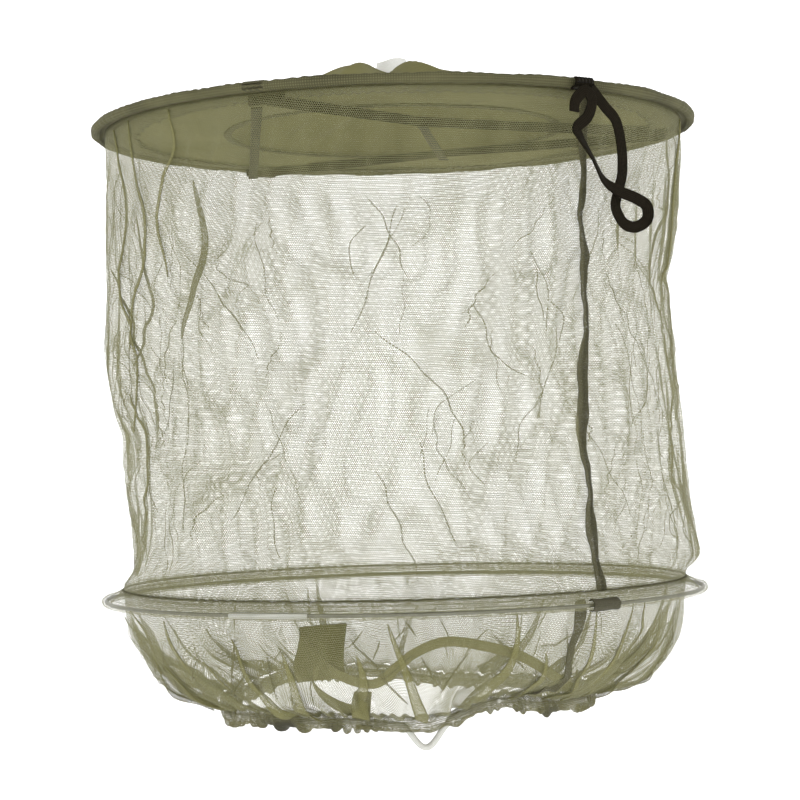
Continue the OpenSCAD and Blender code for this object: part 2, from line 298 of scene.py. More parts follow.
def tube_mesh(
    name: str, path: np.ndarray, radius: float, sides: int = 12, closed: bool = False
) -> bpy.types.Object:
    """A round tube along a path: each ring is a circle square to the path.

    Args:
        name: the object's name.
        path: n points.
        radius: radius of the tube.
        sides: points round it.
        closed: whether the path closes on itself.

    Returns:
        The tube's object.
    """
    ahead = np.roll(path, -1, axis=0) - np.roll(path, 1, axis=0) if closed else np.gradient(path, axis=0)
    heading = unit(ahead)
    lean = np.where(np.abs(heading[:, 2:3]) > 0.9, [[1.0, 0.0, 0.0]], [[0.0, 0.0, 1.0]])
    one = unit(np.cross(lean, heading))
    two = np.cross(heading, one)
    turn = np.linspace(0, 2 * math.pi, sides, endpoint=False)
    points = path[:, None] + radius * (
        one[:, None] * np.cos(turn)[None, :, None] + two[:, None] * np.sin(turn)[None, :, None]
    )
    step = np.linalg.norm(np.diff(path, axis=0), axis=1)
    length = np.concatenate([[0], np.cumsum(step)])
    if closed:
        length = np.append(length, length[-1] + step[-1])
    girth = np.append(turn, 2 * math.pi) * radius
    return grid_mesh(name, points, length, girth, (closed, True), capped=not closed)


def thicken(obj: bpy.types.Object, thick: float) -> None:
    """Give a sheet a wall, half to each side.

    Args:
        obj: the sheet.
        thick: the wall's thickness.
    """
    solid = obj.modifiers.new("wall", "SOLIDIFY")
    solid.thickness = thick
    solid.offset = 0.0


def settle(
    obj: bpy.types.Object, cut: np.ndarray, held: np.ndarray, steps: int, droop: float, stiff: float
) -> None:
    """Let a cloth take the lengths it was cut to, while its held points stay put.

    Args:
        obj: the cloth, in its first shape.
        cut: its points as it was cut, which give the lengths of its threads.
        held: weight from 0 to 1 at each point; 1 never moves.
        steps: simulated frames.
        droop: share of gravity.
        stiff: tension stiffness.
    """
    obj.shape_key_add(name="Basis")
    key = obj.shape_key_add(name=CUT_KEY)
    key.data.foreach_set("co", cut.reshape(-1).astype(np.float32))
    key.value = 0.0
    pins = obj.vertex_groups.new(name="held")
    levels = np.round(held.ravel() * 20) / 20
    for level in np.unique(levels[levels > 0]):
        pins.add(np.flatnonzero(levels == level).tolist(), float(level), "REPLACE")
    cloth = obj.modifiers.new("cloth", "CLOTH")
    put = cloth.settings
    put.quality = 5
    put.mass = 0.02
    put.tension_stiffness = put.compression_stiffness = stiff
    put.shear_stiffness = 0.35 * stiff
    put.bending_stiffness = 0.02
    put.air_damping = 2.0
    put.vertex_group_mass = "held"
    put.rest_shape_key = key
    put.effector_weights.gravity = droop
    cloth.point_cache.frame_start, cloth.point_cache.frame_end = 1, steps
    scene = bpy.context.scene
    for frame in range(1, steps + 1):
        scene.frame_set(frame)
    shaped = obj.evaluated_get(bpy.context.evaluated_depsgraph_get())
    place = np.empty(len(obj.data.vertices) * 3, np.float32)
    shaped.data.vertices.foreach_get("co", place)
    obj.modifiers.remove(cloth)
    obj.shape_key_clear()
    obj.vertex_groups.clear()
    obj.data.vertices.foreach_set("co", place)
    obj.data.update()
    scene.frame_set(1)


def points_of(obj: bpy.types.Object) -> np.ndarray:
    """The points of an object's mesh.

    Args:
        obj: a mesh object.

    Returns:
        An array (n, 3).
    """
    flat = np.empty(len(obj.data.vertices) * 3, np.float32)
    obj.data.vertices.foreach_get("co", flat)
    return flat.reshape(-1, 3).astype(float)


# ---------------------------------------------------------------- finishes


def linear(hex_colour: str) -> tuple[float, float, float, float]:
    """Turn an sRGB colour to linear light, by the sRGB curve.

    Args:
        hex_colour: six hex digits, such as '8a8658'.

    Returns:
        Linear red, green and blue, and an alpha of one.
    """
    parts = [int(hex_colour[i : i + 2], 16) / 255 for i in (0, 2, 4)]
    light = [p / 12.92 if p <= 0.04045 else ((p + 0.055) / 1.055) ** 2.4 for p in parts]
    return (light[0], light[1], light[2], 1.0)


def add(
    material: bpy.types.Material, kind: str, inputs: dict | None = None, **settings: object
) -> bpy.types.Node:
    """Add a node, set it up and feed it.

    Args:
        material: the material whose tree it joins.
        kind: the node's type name without the leading 'ShaderNode'.
        inputs: input name or number to a value or to the socket that feeds it.
        settings: the node's own properties.

    Returns:
        The node.
    """
    tree = material.node_tree
    node = tree.nodes.new("ShaderNode" + kind)
    for name, value in settings.items():
        setattr(node, name, value)
    for name, value in (inputs or {}).items():
        if isinstance(value, bpy.types.NodeSocket):
            tree.links.new(value, node.inputs[name])
        else:
            node.inputs[name].default_value = value
    return node


def blank(name: str) -> bpy.types.Material:
    """A material with an empty node tree.

    Args:
        name: the material's name.

    Returns:
        The new material.
    """
    material = bpy.data.materials.new(name)
    material.use_nodes = True
    material.node_tree.nodes.clear()
    return material


def surface(material: bpy.types.Material, shader: bpy.types.Node) -> bpy.types.Material:
    """Join a shader to the material's output and return the material."""
    add(material, "OutputMaterial", {"Surface": shader.outputs[0]})
    return material


def dress(obj: bpy.types.Object, material: bpy.types.Material) -> None:
    """Give an object one material on every face.

    Args:
        obj: a mesh object.
        material: its new material.
    """
    obj.data.materials.clear()
    obj.data.materials.append(material)
    obj.data.polygons.foreach_set("material_index", np.zeros(len(obj.data.polygons), np.int32))


def joined(pieces: list[bpy.types.Object], name: str) -> bpy.types.Object:
    """Join pieces into the first of them.

    Args:
        pieces: mesh objects.
        name: the joined object's name.

    Returns:
        The first object, which now holds every mesh.
    """
    with bpy.context.temp_override(active_object=pieces[0], selected_editable_objects=pieces):
        bpy.ops.object.join()
    pieces[0].name = name
    return pieces[0]


def place(piece: bpy.types.Object, material: bpy.types.Material, body: str, *nodes: str) -> None:
    """Dress a finished piece, let it ride on its body, and report it.

    Args:
        piece: the piece.
        material: its finish.
        body: the CAD body that it moves with.
        nodes: the CAD nodes that it stands for, if any.
    """
    dress(piece, material)
    if nodes:
        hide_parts(*nodes)
    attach(piece, body)
    LOG.info("%s: %d faces", piece.name, len(piece.data.polygons))


@dataclass(frozen=True)
class Netting:
    """Knitted polyester netting: fine matte thread, staggered square meshes, white shows through; its
    second colour is painted shade.
    """

    name: str
    thread: str
    shade: str
    mesh: float = 0.95 * MM
    width: float = 0.10 * MM
    fill: float = 0.0

    def material(self) -> bpy.types.Material:
        """Thread where a mesh line passes, nothing between; denser where the cloth is gathered, and
        darker there with painted shade.

        Returns:
            The material.
        """
        m = blank(self.name)
        place = add(m, "TexCoord")
        # the knit wanders by a tenth of a mesh
        wander = add(m, "TexNoise", {"Vector": place.outputs["UV"], "Scale": 160.0, "Detail": 1.0})
        shift = add(m, "VectorMath", {0: wander.outputs["Color"], 1: (0.5, 0.5, 0.5)},
                    operation="SUBTRACT")
        small = add(m, "VectorMath", {0: shift.outputs[0], "Scale": 0.6 * self.mesh}, operation="SCALE")
        moved = add(m, "VectorMath", {0: place.outputs["UV"], 1: small.outputs[0]}, operation="ADD")
        cells = add(m, "VectorMath", {0: moved.outputs[0], "Scale": 1.0 / self.mesh}, operation="SCALE")
        uv = add(m, "SeparateXYZ", {0: cells.outputs[0]})
        course = add(m, "Math", {0: uv.outputs["Y"]}, operation="FLOOR")
        stagger = add(m, "Math", {0: course.outputs[0], 1: 2.0}, operation="FLOORED_MODULO")
        offset = add(m, "Math", {0: stagger.outputs[0], 1: 0.5, 2: uv.outputs["X"]},
                     operation="MULTIPLY_ADD")
        to_wale = add(m, "Math", {0: offset.outputs[0], 1: 0.5}, operation="PINGPONG")
        to_course = add(m, "Math", {0: uv.outputs["Y"], 1: 0.5}, operation="PINGPONG")
        nearest = add(m, "Math", {0: to_wale.outputs[0], 1: to_course.outputs[0]}, operation="MINIMUM")
        gather_and_shade = add(m, "Attribute", attribute_name="gather_and_shade")
        coverage_and_shade = add(m, "Math", {0: gather_and_shade.outputs["Fac"], 1: self.fill}, operation="ADD", use_clamp=True)
        half = add(m, "Math", {0: coverage_and_shade.outputs[0], 1: 0.36, 2: 0.5 * self.width / self.mesh},
                   operation="MULTIPLY_ADD")
        inner = add(m, "Math", {0: half.outputs[0], 1: 0.6}, operation="MULTIPLY")
        outer = add(m, "Math", {0: half.outputs[0], 1: 1.4}, operation="MULTIPLY")
        cover = add(m, "MapRange", {"Value": nearest.outputs[0], "From Min": inner.outputs[0],
                                    "From Max": outer.outputs[0], "To Min": 1.0, "To Max": 0.0})
        # painted shade: the thread colour is mixed towards the darker second colour wherever the
        # gathering value is high
        thread_and_painted_shade = add(m, "MixRGB", {"Fac": coverage_and_shade.outputs[0], "Color1": linear(self.thread),
                                 "Color2": linear(self.shade)})
        shader = add(m, "BsdfPrincipled", {"Base Color": thread_and_painted_shade.outputs[0], "Alpha": cover.outputs[0],
                                           "Roughness": 0.7})
        return surface(m, shader)


@dataclass(frozen=True)
class WovenCloth:
    """Plain-woven polyester cloth: matte, with a fine square weave and a slightly uneven dye."""

    name: str
    warp: str
    weft: str
    pitch: float = 0.9 * MM  # real threads are near 0.3 mm, drawn coarser so that the weave shows

    def material(self) -> bpy.types.Material:
        """Two families of threads that pass over and under each other, in colour and bump.

        Returns:
            The material.
        """
        m = blank(self.name)
        place = add(m, "TexCoord")
        scale = 2 * math.pi / self.pitch
        warp = add(m, "TexWave", {"Vector": place.outputs["UV"], "Scale": scale / 20, "Distortion": 0.6,
                                  "Detail": 1.0, "Detail Scale": 2.0}, bands_direction="X")
        weft = add(m, "TexWave", {"Vector": place.outputs["UV"], "Scale": scale / 20, "Distortion": 0.6,
                                  "Detail": 1.0, "Detail Scale": 2.0}, bands_direction="Y")
        weave = add(m, "Math", {0: warp.outputs["Fac"], 1: weft.outputs["Fac"]}, operation="MULTIPLY")
        dye = add(m, "TexNoise", {"Vector": place.outputs["Object"], "Scale": 28.0, "Detail": 4.0})
        blend = add(m, "Math", {0: weave.outputs[0], 1: 0.55, 2: dye.outputs["Fac"]},
                    operation="MULTIPLY_ADD")
        soft = add(m, "MapRange", {"Value": blend.outputs[0], "From Min": 0.35, "From Max": 0.95})
        colour = add(m, "MixRGB", {"Fac": soft.outputs[0], "Color1": linear(self.weft),
                                   "Color2": linear(self.warp)})
        bump = add(m, "Bump", {"Height": weave.outputs[0], "Strength": 0.35, "Distance": 0.15 * MM})
        shader = add(m, "BsdfPrincipled", {"Base Color": colour.outputs[0], "Roughness": 0.82,
                                           "Specular IOR Level": 0.2, "Normal": bump.outputs[0]})
        return surface(m, shader)


@dataclass(frozen=True)
class RibbedTape:
    """Woven or knitted elastic: ribs along its length, fine cross threads, soft sheen; the colour is
    lighter on the raised knit and darker in its grooves, partly the knit's own pattern and partly painted
    highlight and shade.
    """

    name: str
    ridge: str
    shaded_groove: str
    rib: float = 0.9 * MM
    pick: float = 0.7 * MM
    rough: float = 0.6

    def material(self) -> bpy.types.Material:
        """Ribs follow V, across the tape; picks follow U, along it; both emboss, and the colour follows
        the same relief, partly as the knit's pattern and partly as painted highlight and painted shade.

        Returns:
            The material.
        """
        m = blank(self.name)
        place = add(m, "TexCoord")
        cells = add(m, "VectorMath", {0: place.outputs["UV"], 1: (1 / self.pick, 1 / self.rib, 0.0)},
                    operation="MULTIPLY")
        uv = add(m, "SeparateXYZ", {0: cells.outputs[0]})
        rib = add(m, "Math", {0: uv.outputs["Y"], 1: 0.5}, operation="PINGPONG")
        pick = add(m, "Math", {0: uv.outputs["X"], 1: 0.5}, operation="PINGPONG")
        knit = add(m, "Math", {0: rib.outputs[0], 1: pick.outputs[0]}, operation="MULTIPLY")
        grain = add(m, "TexNoise", {"Vector": place.outputs["Object"], "Scale": 900.0, "Detail": 2.0})
        lift = add(m, "Math", {0: grain.outputs["Fac"], 1: 0.12, 2: knit.outputs[0]},
                   operation="MULTIPLY_ADD")
        tone = add(m, "MapRange", {"Value": lift.outputs[0], "From Min": 0.03, "From Max": 0.24})
        # partly painted light: the raised knit takes the lighter first colour as painted highlight, and
        # the grooves take the darker second colour as painted shade, over the knit's own pattern
        colour = add(m, "MixRGB", {"Fac": tone.outputs[0], "Color1": linear(self.shaded_groove),
                                   "Color2": linear(self.ridge)})
        bump = add(m, "Bump", {"Height": lift.outputs[0], "Strength": 0.6, "Distance": 0.3 * MM})
        shader = add(m, "BsdfPrincipled", {"Base Color": colour.outputs[0], "Roughness": self.rough,
                                           "Specular IOR Level": 0.03, "Normal": bump.outputs[0]})
        return surface(m, shader)


@dataclass(frozen=True)
class DrawnMetal:
    """Bright drawn metal: fine lines along the wire, a clean highlight and light tarnish."""

    name: str
    bright: str
    dull: str
    rough: float = 0.3

    def material(self) -> bpy.types.Material:
        """Metal whose tone and roughness vary with fine grain and slow tarnish.

        Returns:
            The material.
        """
        m = blank(self.name)
        place = add(m, "TexCoord")
        grain = add(m, "TexNoise", {"Vector": place.outputs["Object"], "Scale": 2500.0, "Detail": 2.0})
        tarnish = add(m, "TexNoise", {"Vector": place.outputs["Object"], "Scale": 60.0, "Detail": 3.0})
        colour = add(m, "MixRGB", {"Fac": tarnish.outputs["Fac"], "Color1": linear(self.bright),
                                   "Color2": linear(self.dull)})
        rough = add(m, "MapRange", {"Value": grain.outputs["Fac"], "To Min": self.rough - 0.08,
                                    "To Max": self.rough + 0.12})
        bump = add(m, "Bump", {"Height": grain.outputs["Fac"], "Strength": 0.1, "Distance": 0.05 * MM})
        shader = add(m, "BsdfPrincipled", {"Base Color": colour.outputs[0], "Metallic": 1.0,
                                           "Roughness": rough.outputs[0], "Normal": bump.outputs[0]})
        return surface(m, shader)


@dataclass(frozen=True)
class StitchedThread:
    """Spun polyester thread laid in close stitches, as in overlocking and bar tacks."""

    name: str
    light: str
    dark: str
    pitch: float = 0.5 * MM

    def material(self) -> bpy.types.Material:
        """Bands of thread that lie side by side, twisted, with dark gaps.

        Returns:
            The material.
        """
        m = blank(self.name)
        place = add(m, "TexCoord")
        bands = add(m, "TexWave", {"Vector": place.outputs["Object"], "Scale": 0.3 / self.pitch,
                                   "Distortion": 3.0, "Detail": 2.0, "Detail Scale": 3.0},
                    bands_direction="DIAGONAL")
        fuzz = add(m, "TexNoise", {"Vector": place.outputs["Object"], "Scale": 1200.0, "Detail": 2.0})
        both = add(m, "Math", {0: bands.outputs["Fac"], 1: fuzz.outputs["Fac"]}, operation="MULTIPLY")
        tone = add(m, "MapRange", {"Value": both.outputs[0], "From Max": 0.6})
        colour = add(m, "MixRGB", {"Fac": tone.outputs[0], "Color1": linear(self.dark),
                                   "Color2": linear(self.light)})
        bump = add(m, "Bump", {"Height": both.outputs[0], "Strength": 0.7, "Distance": 0.2 * MM})
        shader = add(m, "BsdfPrincipled", {"Base Color": colour.outputs[0], "Roughness": 0.75,
                                           "Normal": bump.outputs[0]})
        return surface(m, shader)


# Each netting's second colour is painted shade, which its thread takes where the gathering value is high.
VEIL_NET = Netting("olive_netting", "84825a", "55522f", width=0.145 * MM)
CASING_NET = Netting("doubled_netting", "8b8962", "3c3a26", width=0.09 * MM)
HEM_NET = Netting("gathered_netting", "77744c", "2a2815", width=0.2 * MM)
SEAM_NET = Netting("seam_allowance_netting", "504d2f", "2e2b18", width=0.45 * MM, fill=0.15)
CROWN_CLOTH = WovenCloth("olive_plain_weave", "7f7c50", "67643e")
PATCH_CLOTH = WovenCloth("olive_patch_cloth", "64613d", "484527")
BINDING_TAPE = WovenCloth("olive_binding_tape", "626043", "403e2a", pitch=1.3 * MM)
# Each tape's first colour is its raised knit with painted highlight, and its second is its grooves with
# painted shade.
HARNESS_ELASTIC = RibbedTape("brown_knitted_elastic", "2f2b1d", "110f0a", rib=1.3 * MM, pick=1.2 * MM)
BLACK_ELASTIC = RibbedTape("black_ribbed_elastic", "29241a", "080705", rib=1.0 * MM, rough=0.7)
OLIVE_TAPE = RibbedTape("olive_ribbed_tape", "8f8b62", "5d5a3a", rib=1.0 * MM)
WHITE_ELASTIC = RibbedTape("white_braided_elastic", "e6e6e0", "a5a59c", rib=0.8 * MM)
LABEL_SATIN = RibbedTape("white_label_satin", "f2f2ee", "d6d6d0", rib=0.5 * MM, pick=0.5 * MM,
                         rough=0.45)
FOLD_NET = Netting("doubled_fold_netting", "84814f", "4f4c2a", width=0.22 * MM)
CREASE_NET = Netting("pressed_crease_netting", "7d7a52", "5f5c3a", width=0.13 * MM)
SPRING_STEEL = DrawnMetal("drawn_spring_steel", "8e8e88", "5c5c55")
SLEEVE_METAL = DrawnMetal("satin_aluminium_sleeve", "d4d5d2", "b2b3ae", rough=0.4)
OVERLOCK = StitchedThread("dark_overlock_thread", "5a5738", "2a2815")
BAR_TACK = StitchedThread("olive_bar_tack_thread", "6d6a45", "3c3a24")
BLACK_TACK = StitchedThread("black_tack_thread", "332f24", "0c0b08")


# ---------------------------------------------------------------- sizes


@dataclass(frozen=True)
class Layout:
    """The veil's main sizes, read from the CAD boxes."""

    hoop_r: float
    binding_r: float
    panel_r: float
    crown_r: float
    crown_top: float
    net_r: float
    net_top: float
    net_foot: float
    lower_z: float
    skirt_top: float
    skirt_foot: float
    hem_r: float
    hem_w: float
    hem_h: float
    hem_z: float

    @classmethod
    def from_frame(cls) -> Layout:
        """Work the sizes out from the boxes of the nodes that set them.

        Returns:
            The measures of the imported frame.
        """
        wire_lo, wire_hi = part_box("upper_hoop_wire")
        wire_r = (wire_hi[2] - wire_lo[2]) / 2
        bind_lo, bind_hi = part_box("upper_hoop_binding")
        seam_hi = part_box("crown_seam")[1]
        net_lo, net_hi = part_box("veil_net")
        low_lo, low_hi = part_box("lower_hoop_wire")
        skirt_lo, skirt_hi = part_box("skirt_net")
        hem_lo, hem_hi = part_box("neck_hem")
        bight_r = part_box("neck_elastic")[1][0] - 1.8 * MM
        return cls(
            hoop_r=wire_hi[0] - wire_r,
            binding_r=(bind_hi[2] - bind_lo[2]) / 2,
            panel_r=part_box("top_panel")[1][0],
            crown_r=seam_hi[0] - 2.4 * MM,
            crown_top=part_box("crown_pocket")[1][2],
            net_r=net_hi[0] - 0.25 * MM,
            net_top=net_hi[2],
            net_foot=net_lo[2],
            lower_z=(low_lo[2] + low_hi[2]) / 2,
            skirt_top=skirt_hi[2],
            skirt_foot=skirt_lo[2],
            hem_r=bight_r,
            hem_w=2 * (hem_hi[0] - bight_r),
            hem_h=hem_hi[2] - hem_lo[2],
            hem_z=(hem_lo[2] + hem_hi[2]) / 2,
        )


# ---------------------------------------------------------------- studio


@dataclass
class Studio:
    """A pale floor, soft light and a camera a little under the upper hoop."""

    azimuth: float = -33.0
    distance: float = 1.191
    height: float = -0.1844
    pitch: float = 1.37
    roll: float = 1.48
    focal: float = 2065.0
    frame_side: float = 800.0

    def camera(self) -> None:
        """Place the camera, pitched up and rolled by the fitted angles."""
        data = bpy.data.cameras.new("camera")
        data.sensor_width = 36.0
        data.lens = self.focal / self.frame_side * data.sensor_width
        data.clip_end = 20.0
        cam = bpy.data.objects.new("camera", data)
        bpy.context.scene.collection.objects.link(cam)
        a, p, r = (math.radians(x) for x in (self.azimuth, self.pitch, self.roll))
        ahead = np.array([-math.sin(a), math.cos(a), 0.0])
        right = np.array([math.cos(a), math.sin(a), 0.0])
        up = np.array([0.0, 0.0, 1.0])
        look = ahead * math.cos(p) + up * math.sin(p)
        top = -ahead * math.sin(p) + up * math.cos(p)
        x_axis = right * math.cos(r) - top * math.sin(r)
        y_axis = right * math.sin(r) + top * math.cos(r)
        turn = Matrix(np.stack([x_axis, y_axis, -look], axis=1).tolist()).to_4x4()
        spot = -ahead * self.distance + up * self.height
        cam.matrix_world = Matrix.Translation(spot.tolist()) @ turn
        bpy.context.scene.camera = cam

    def floor(self, low: float) -> None:
        """A pale sweep: flat under the veil, curving up behind it on every side.

        Args:
            low: the floor's height.
        """
        r = np.linspace(0.0, 1.0, 40)
        reach = 4.5 * r
        rise = 3.2 * ease((r - 0.55) / 0.45) ** 2
        h = np.linspace(0, 2 * math.pi, 96, endpoint=False)
        xy = plan(reach[None, :], h[:, None])
        z = np.broadcast_to(low + rise, xy.shape[:2])
        sweep = grid_mesh("floor", np.concatenate([xy, z[..., None]], axis=-1),
                          np.append(h, 2 * math.pi), reach, (True, False))
        m = blank("white_paper")
        shader = add(m, "BsdfPrincipled", {"Base Color": linear("fdfdfd"), "Roughness": 0.9,
                                           "Emission Color": linear("ffffff"), "Emission Strength": 0.5})
        dress(sweep, surface(m, shader))

    def lights(self) -> None:
        """A bright even world and two large soft lamps."""
        world = bpy.data.worlds.new("white_room")
        world.use_nodes = True
        world.node_tree.nodes["Background"].inputs["Color"].default_value = (1.0, 1.0, 1.0, 1.0)
        world.node_tree.nodes["Background"].inputs["Strength"].default_value = 0.5
        bpy.context.scene.world = world
        for name, side, back, high, power, size in (
            ("key_light", -1.1, -1.3, 1.2, 9.0, 1.2),
            ("fill_light", 1.4, -0.9, 0.3, 4.0, 1.4),
        ):
            data = bpy.data.lights.new(name, "AREA")
            data.energy, data.size = power, size
            lamp = bpy.data.objects.new(name, data)
            bpy.context.scene.collection.objects.link(lamp)
            a = math.radians(self.azimuth)
            x = side * math.cos(a) - back * math.sin(a)
            y = side * math.sin(a) + back * math.cos(a)
            lamp.location = (x, y, high)
            aim = Matrix.Identity(3)
            away = unit(np.array([x, y, high + 0.15]))
            one = unit(np.cross([0.0, 0.0, 1.0], away))
            aim = Matrix(np.stack([one, np.cross(away, one), away], axis=1).tolist())
            lamp.rotation_euler = aim.to_euler()


# ---------------------------------------------------------------- veil


@dataclass(frozen=True)
class Fold:
    """A fold of doubled netting that lies along the net."""

    route: tuple[tuple[float, float], ...]  # heading in degrees and height in millimetres
    width: float  # at its widest
    inside: bool = False


def strips_mesh(
    name: str,
    paths: np.ndarray,
    widths: np.ndarray,
    lift: np.ndarray,
    edge: float,
    middle: float,
    spear: bool = False,
) -> bpy.types.Object:
    """Many narrow strips in one mesh, each laid on a surface round the hoops' axis.

    Across a strip the height is the lift plus a low arch; along it the width tapers to nothing at
    both ends as the square root of a sine, or for a spear from its full width down to a point.

    Args:
        name: the object's name.
        paths: array (strips, steps, 3).
        widths: widest width of each strip.
        lift: signed distance of each strip from its path, outward.
        edge: gather value along the strip's edges.
        middle: gather value along its middle.
        spear: whether each strip is widest at its start.

    Returns:
        The strips' object.
    """
    n, m, _ = paths.shape
    t = unit(np.gradient(paths, axis=1))
    out = unit(paths * np.array([1.0, 1.0, 0.0]))
    side = unit(np.cross(t, out))
    share = np.linspace(0, 1, m)[None, :]
    taper = (1 - share) ** 0.8 if spear else np.sqrt(np.sin(math.pi * share))
    wide = widths[:, None] * (0.06 + 0.94 * taper)
    c = np.array([-0.5, -0.3, 0.0, 0.3, 0.5])
    arch = lift[:, None, None] * (1.0 + 0.8 * (1 - (2 * c) ** 2))[None, None, :]
    points = (paths[:, :, None] + side[:, :, None] * (wide[:, :, None] * c)[..., None]
              + out[:, :, None] * arch[..., None])
    k = len(c)
    base = (np.arange(n)[:, None, None] * m + np.arange(m - 1)[None, :, None]) * k + np.arange(k - 1)
    quads = np.stack([base, base + 1, base + k + 1, base + k], axis=-1).reshape(-1, 4)
    mesh = bpy.data.meshes.new(name)
    mesh.from_pydata(points.reshape(-1, 3).tolist(), [], quads.tolist())
    gone = np.cumsum(np.linalg.norm(np.diff(paths, axis=1), axis=2), axis=1)
    run = np.concatenate([np.zeros((n, 1)), gone], axis=1)
    u = (wide[:, :, None] * c).reshape(-1)
    v = np.broadcast_to(run[:, :, None], (n, m, k)).reshape(-1)
    uv = np.stack([u, v], axis=-1)[quads.ravel()]
    mesh.uv_layers.new(name="UVMap").data.foreach_set("uv", uv.astype(np.float32).ravel())
    # this value makes the netting denser and darkens it with painted shade
    value = np.broadcast_to(np.where(np.abs(c) > 0.4, edge, middle), (n, m, k))
    layer = mesh.attributes.new("gather_and_shade", "FLOAT", "POINT")
    layer.data.foreach_set("value", value.astype(np.float32).ravel())
    mesh.polygons.foreach_set("use_smooth", np.ones(len(mesh.polygons), bool))
    mesh.update()
    obj = bpy.data.objects.new(name, mesh)
    bpy.context.scene.collection.objects.link(obj)
    return obj


def stitches_mesh(name: str, starts: np.ndarray, ends: np.ndarray, radius: float) -> bpy.types.Object:
    """Many short stitches in one mesh: each a five-sided spindle from its start to its end.

    Args:
        name: the object's name.
        starts: array (n, 3).
        ends: array (n, 3).
        radius: radius of the thread.

    Returns:
        The stitches' object.
    """
    n, sides = len(starts), 5
    share = np.array([0.0, 0.25, 0.75, 1.0])
    bulk = np.array([0.35, 1.0, 1.0, 0.35])
    run = ends - starts
    heading = unit(run)
    lean = np.where(np.abs(heading[:, 2:3]) > 0.8, [[1.0, 0.0, 0.0]], [[0.0, 0.0, 1.0]])
    one = unit(np.cross(lean, heading))
    two = np.cross(heading, one)
    turn = np.linspace(0, 2 * math.pi, sides, endpoint=False)
    ring = one[:, None] * np.cos(turn)[None, :, None] + two[:, None] * np.sin(turn)[None, :, None]
    spine = starts[:, None] + run[:, None] * share[None, :, None]
    points = spine[:, :, None] + ring[:, None] * (radius * bulk)[None, :, None, None]
    cell = (np.arange(n)[:, None, None] * 4 + np.arange(3)[None, :, None]) * sides
    j = np.arange(sides)
    k = (j + 1) % sides
    quads = np.stack([cell + j, cell + k, cell + sides + k, cell + sides + j], axis=-1).reshape(-1, 4)
    first = np.arange(n)[:, None] * 4 * sides
    caps = np.concatenate([first + j[::-1], first + 3 * sides + j])
    mesh = bpy.data.meshes.new(name)
    mesh.from_pydata(points.reshape(-1, 3).tolist(), [], quads.tolist() + caps.tolist())
    mesh.polygons.foreach_set("use_smooth", np.ones(len(mesh.polygons), bool))
    mesh.update()
    obj = bpy.data.objects.new(name, mesh)
    bpy.context.scene.collection.objects.link(obj)
    return obj


def zigzag(one: np.ndarray, two: np.ndarray, count: int, radius: float, name: str) -> bpy.types.Object:
    """A thread that crosses to and fro between two edges.

    Args:
        one: points along the first edge.
        two: points along the second edge, as many.
        count: number of crossings.
        radius: radius of the thread.
        name: the object's name.

    Returns:
        The thread's object.
    """
    t = np.linspace(0, len(one) - 1, 4 * count + 1)
    low = np.minimum(t.astype(int), len(one) - 2)
    f = (t - low)[:, None]
    a = one[low] * (1 - f) + one[low + 1] * f
    b = two[low] * (1 - f) + two[low + 1] * f
    swing = 0.5 - 0.5 * np.cos(np.arange(4 * count + 1) * math.pi / 2)[:, None]
    return tube_mesh(name, a * (1 - swing) + b * swing, radius, 6)


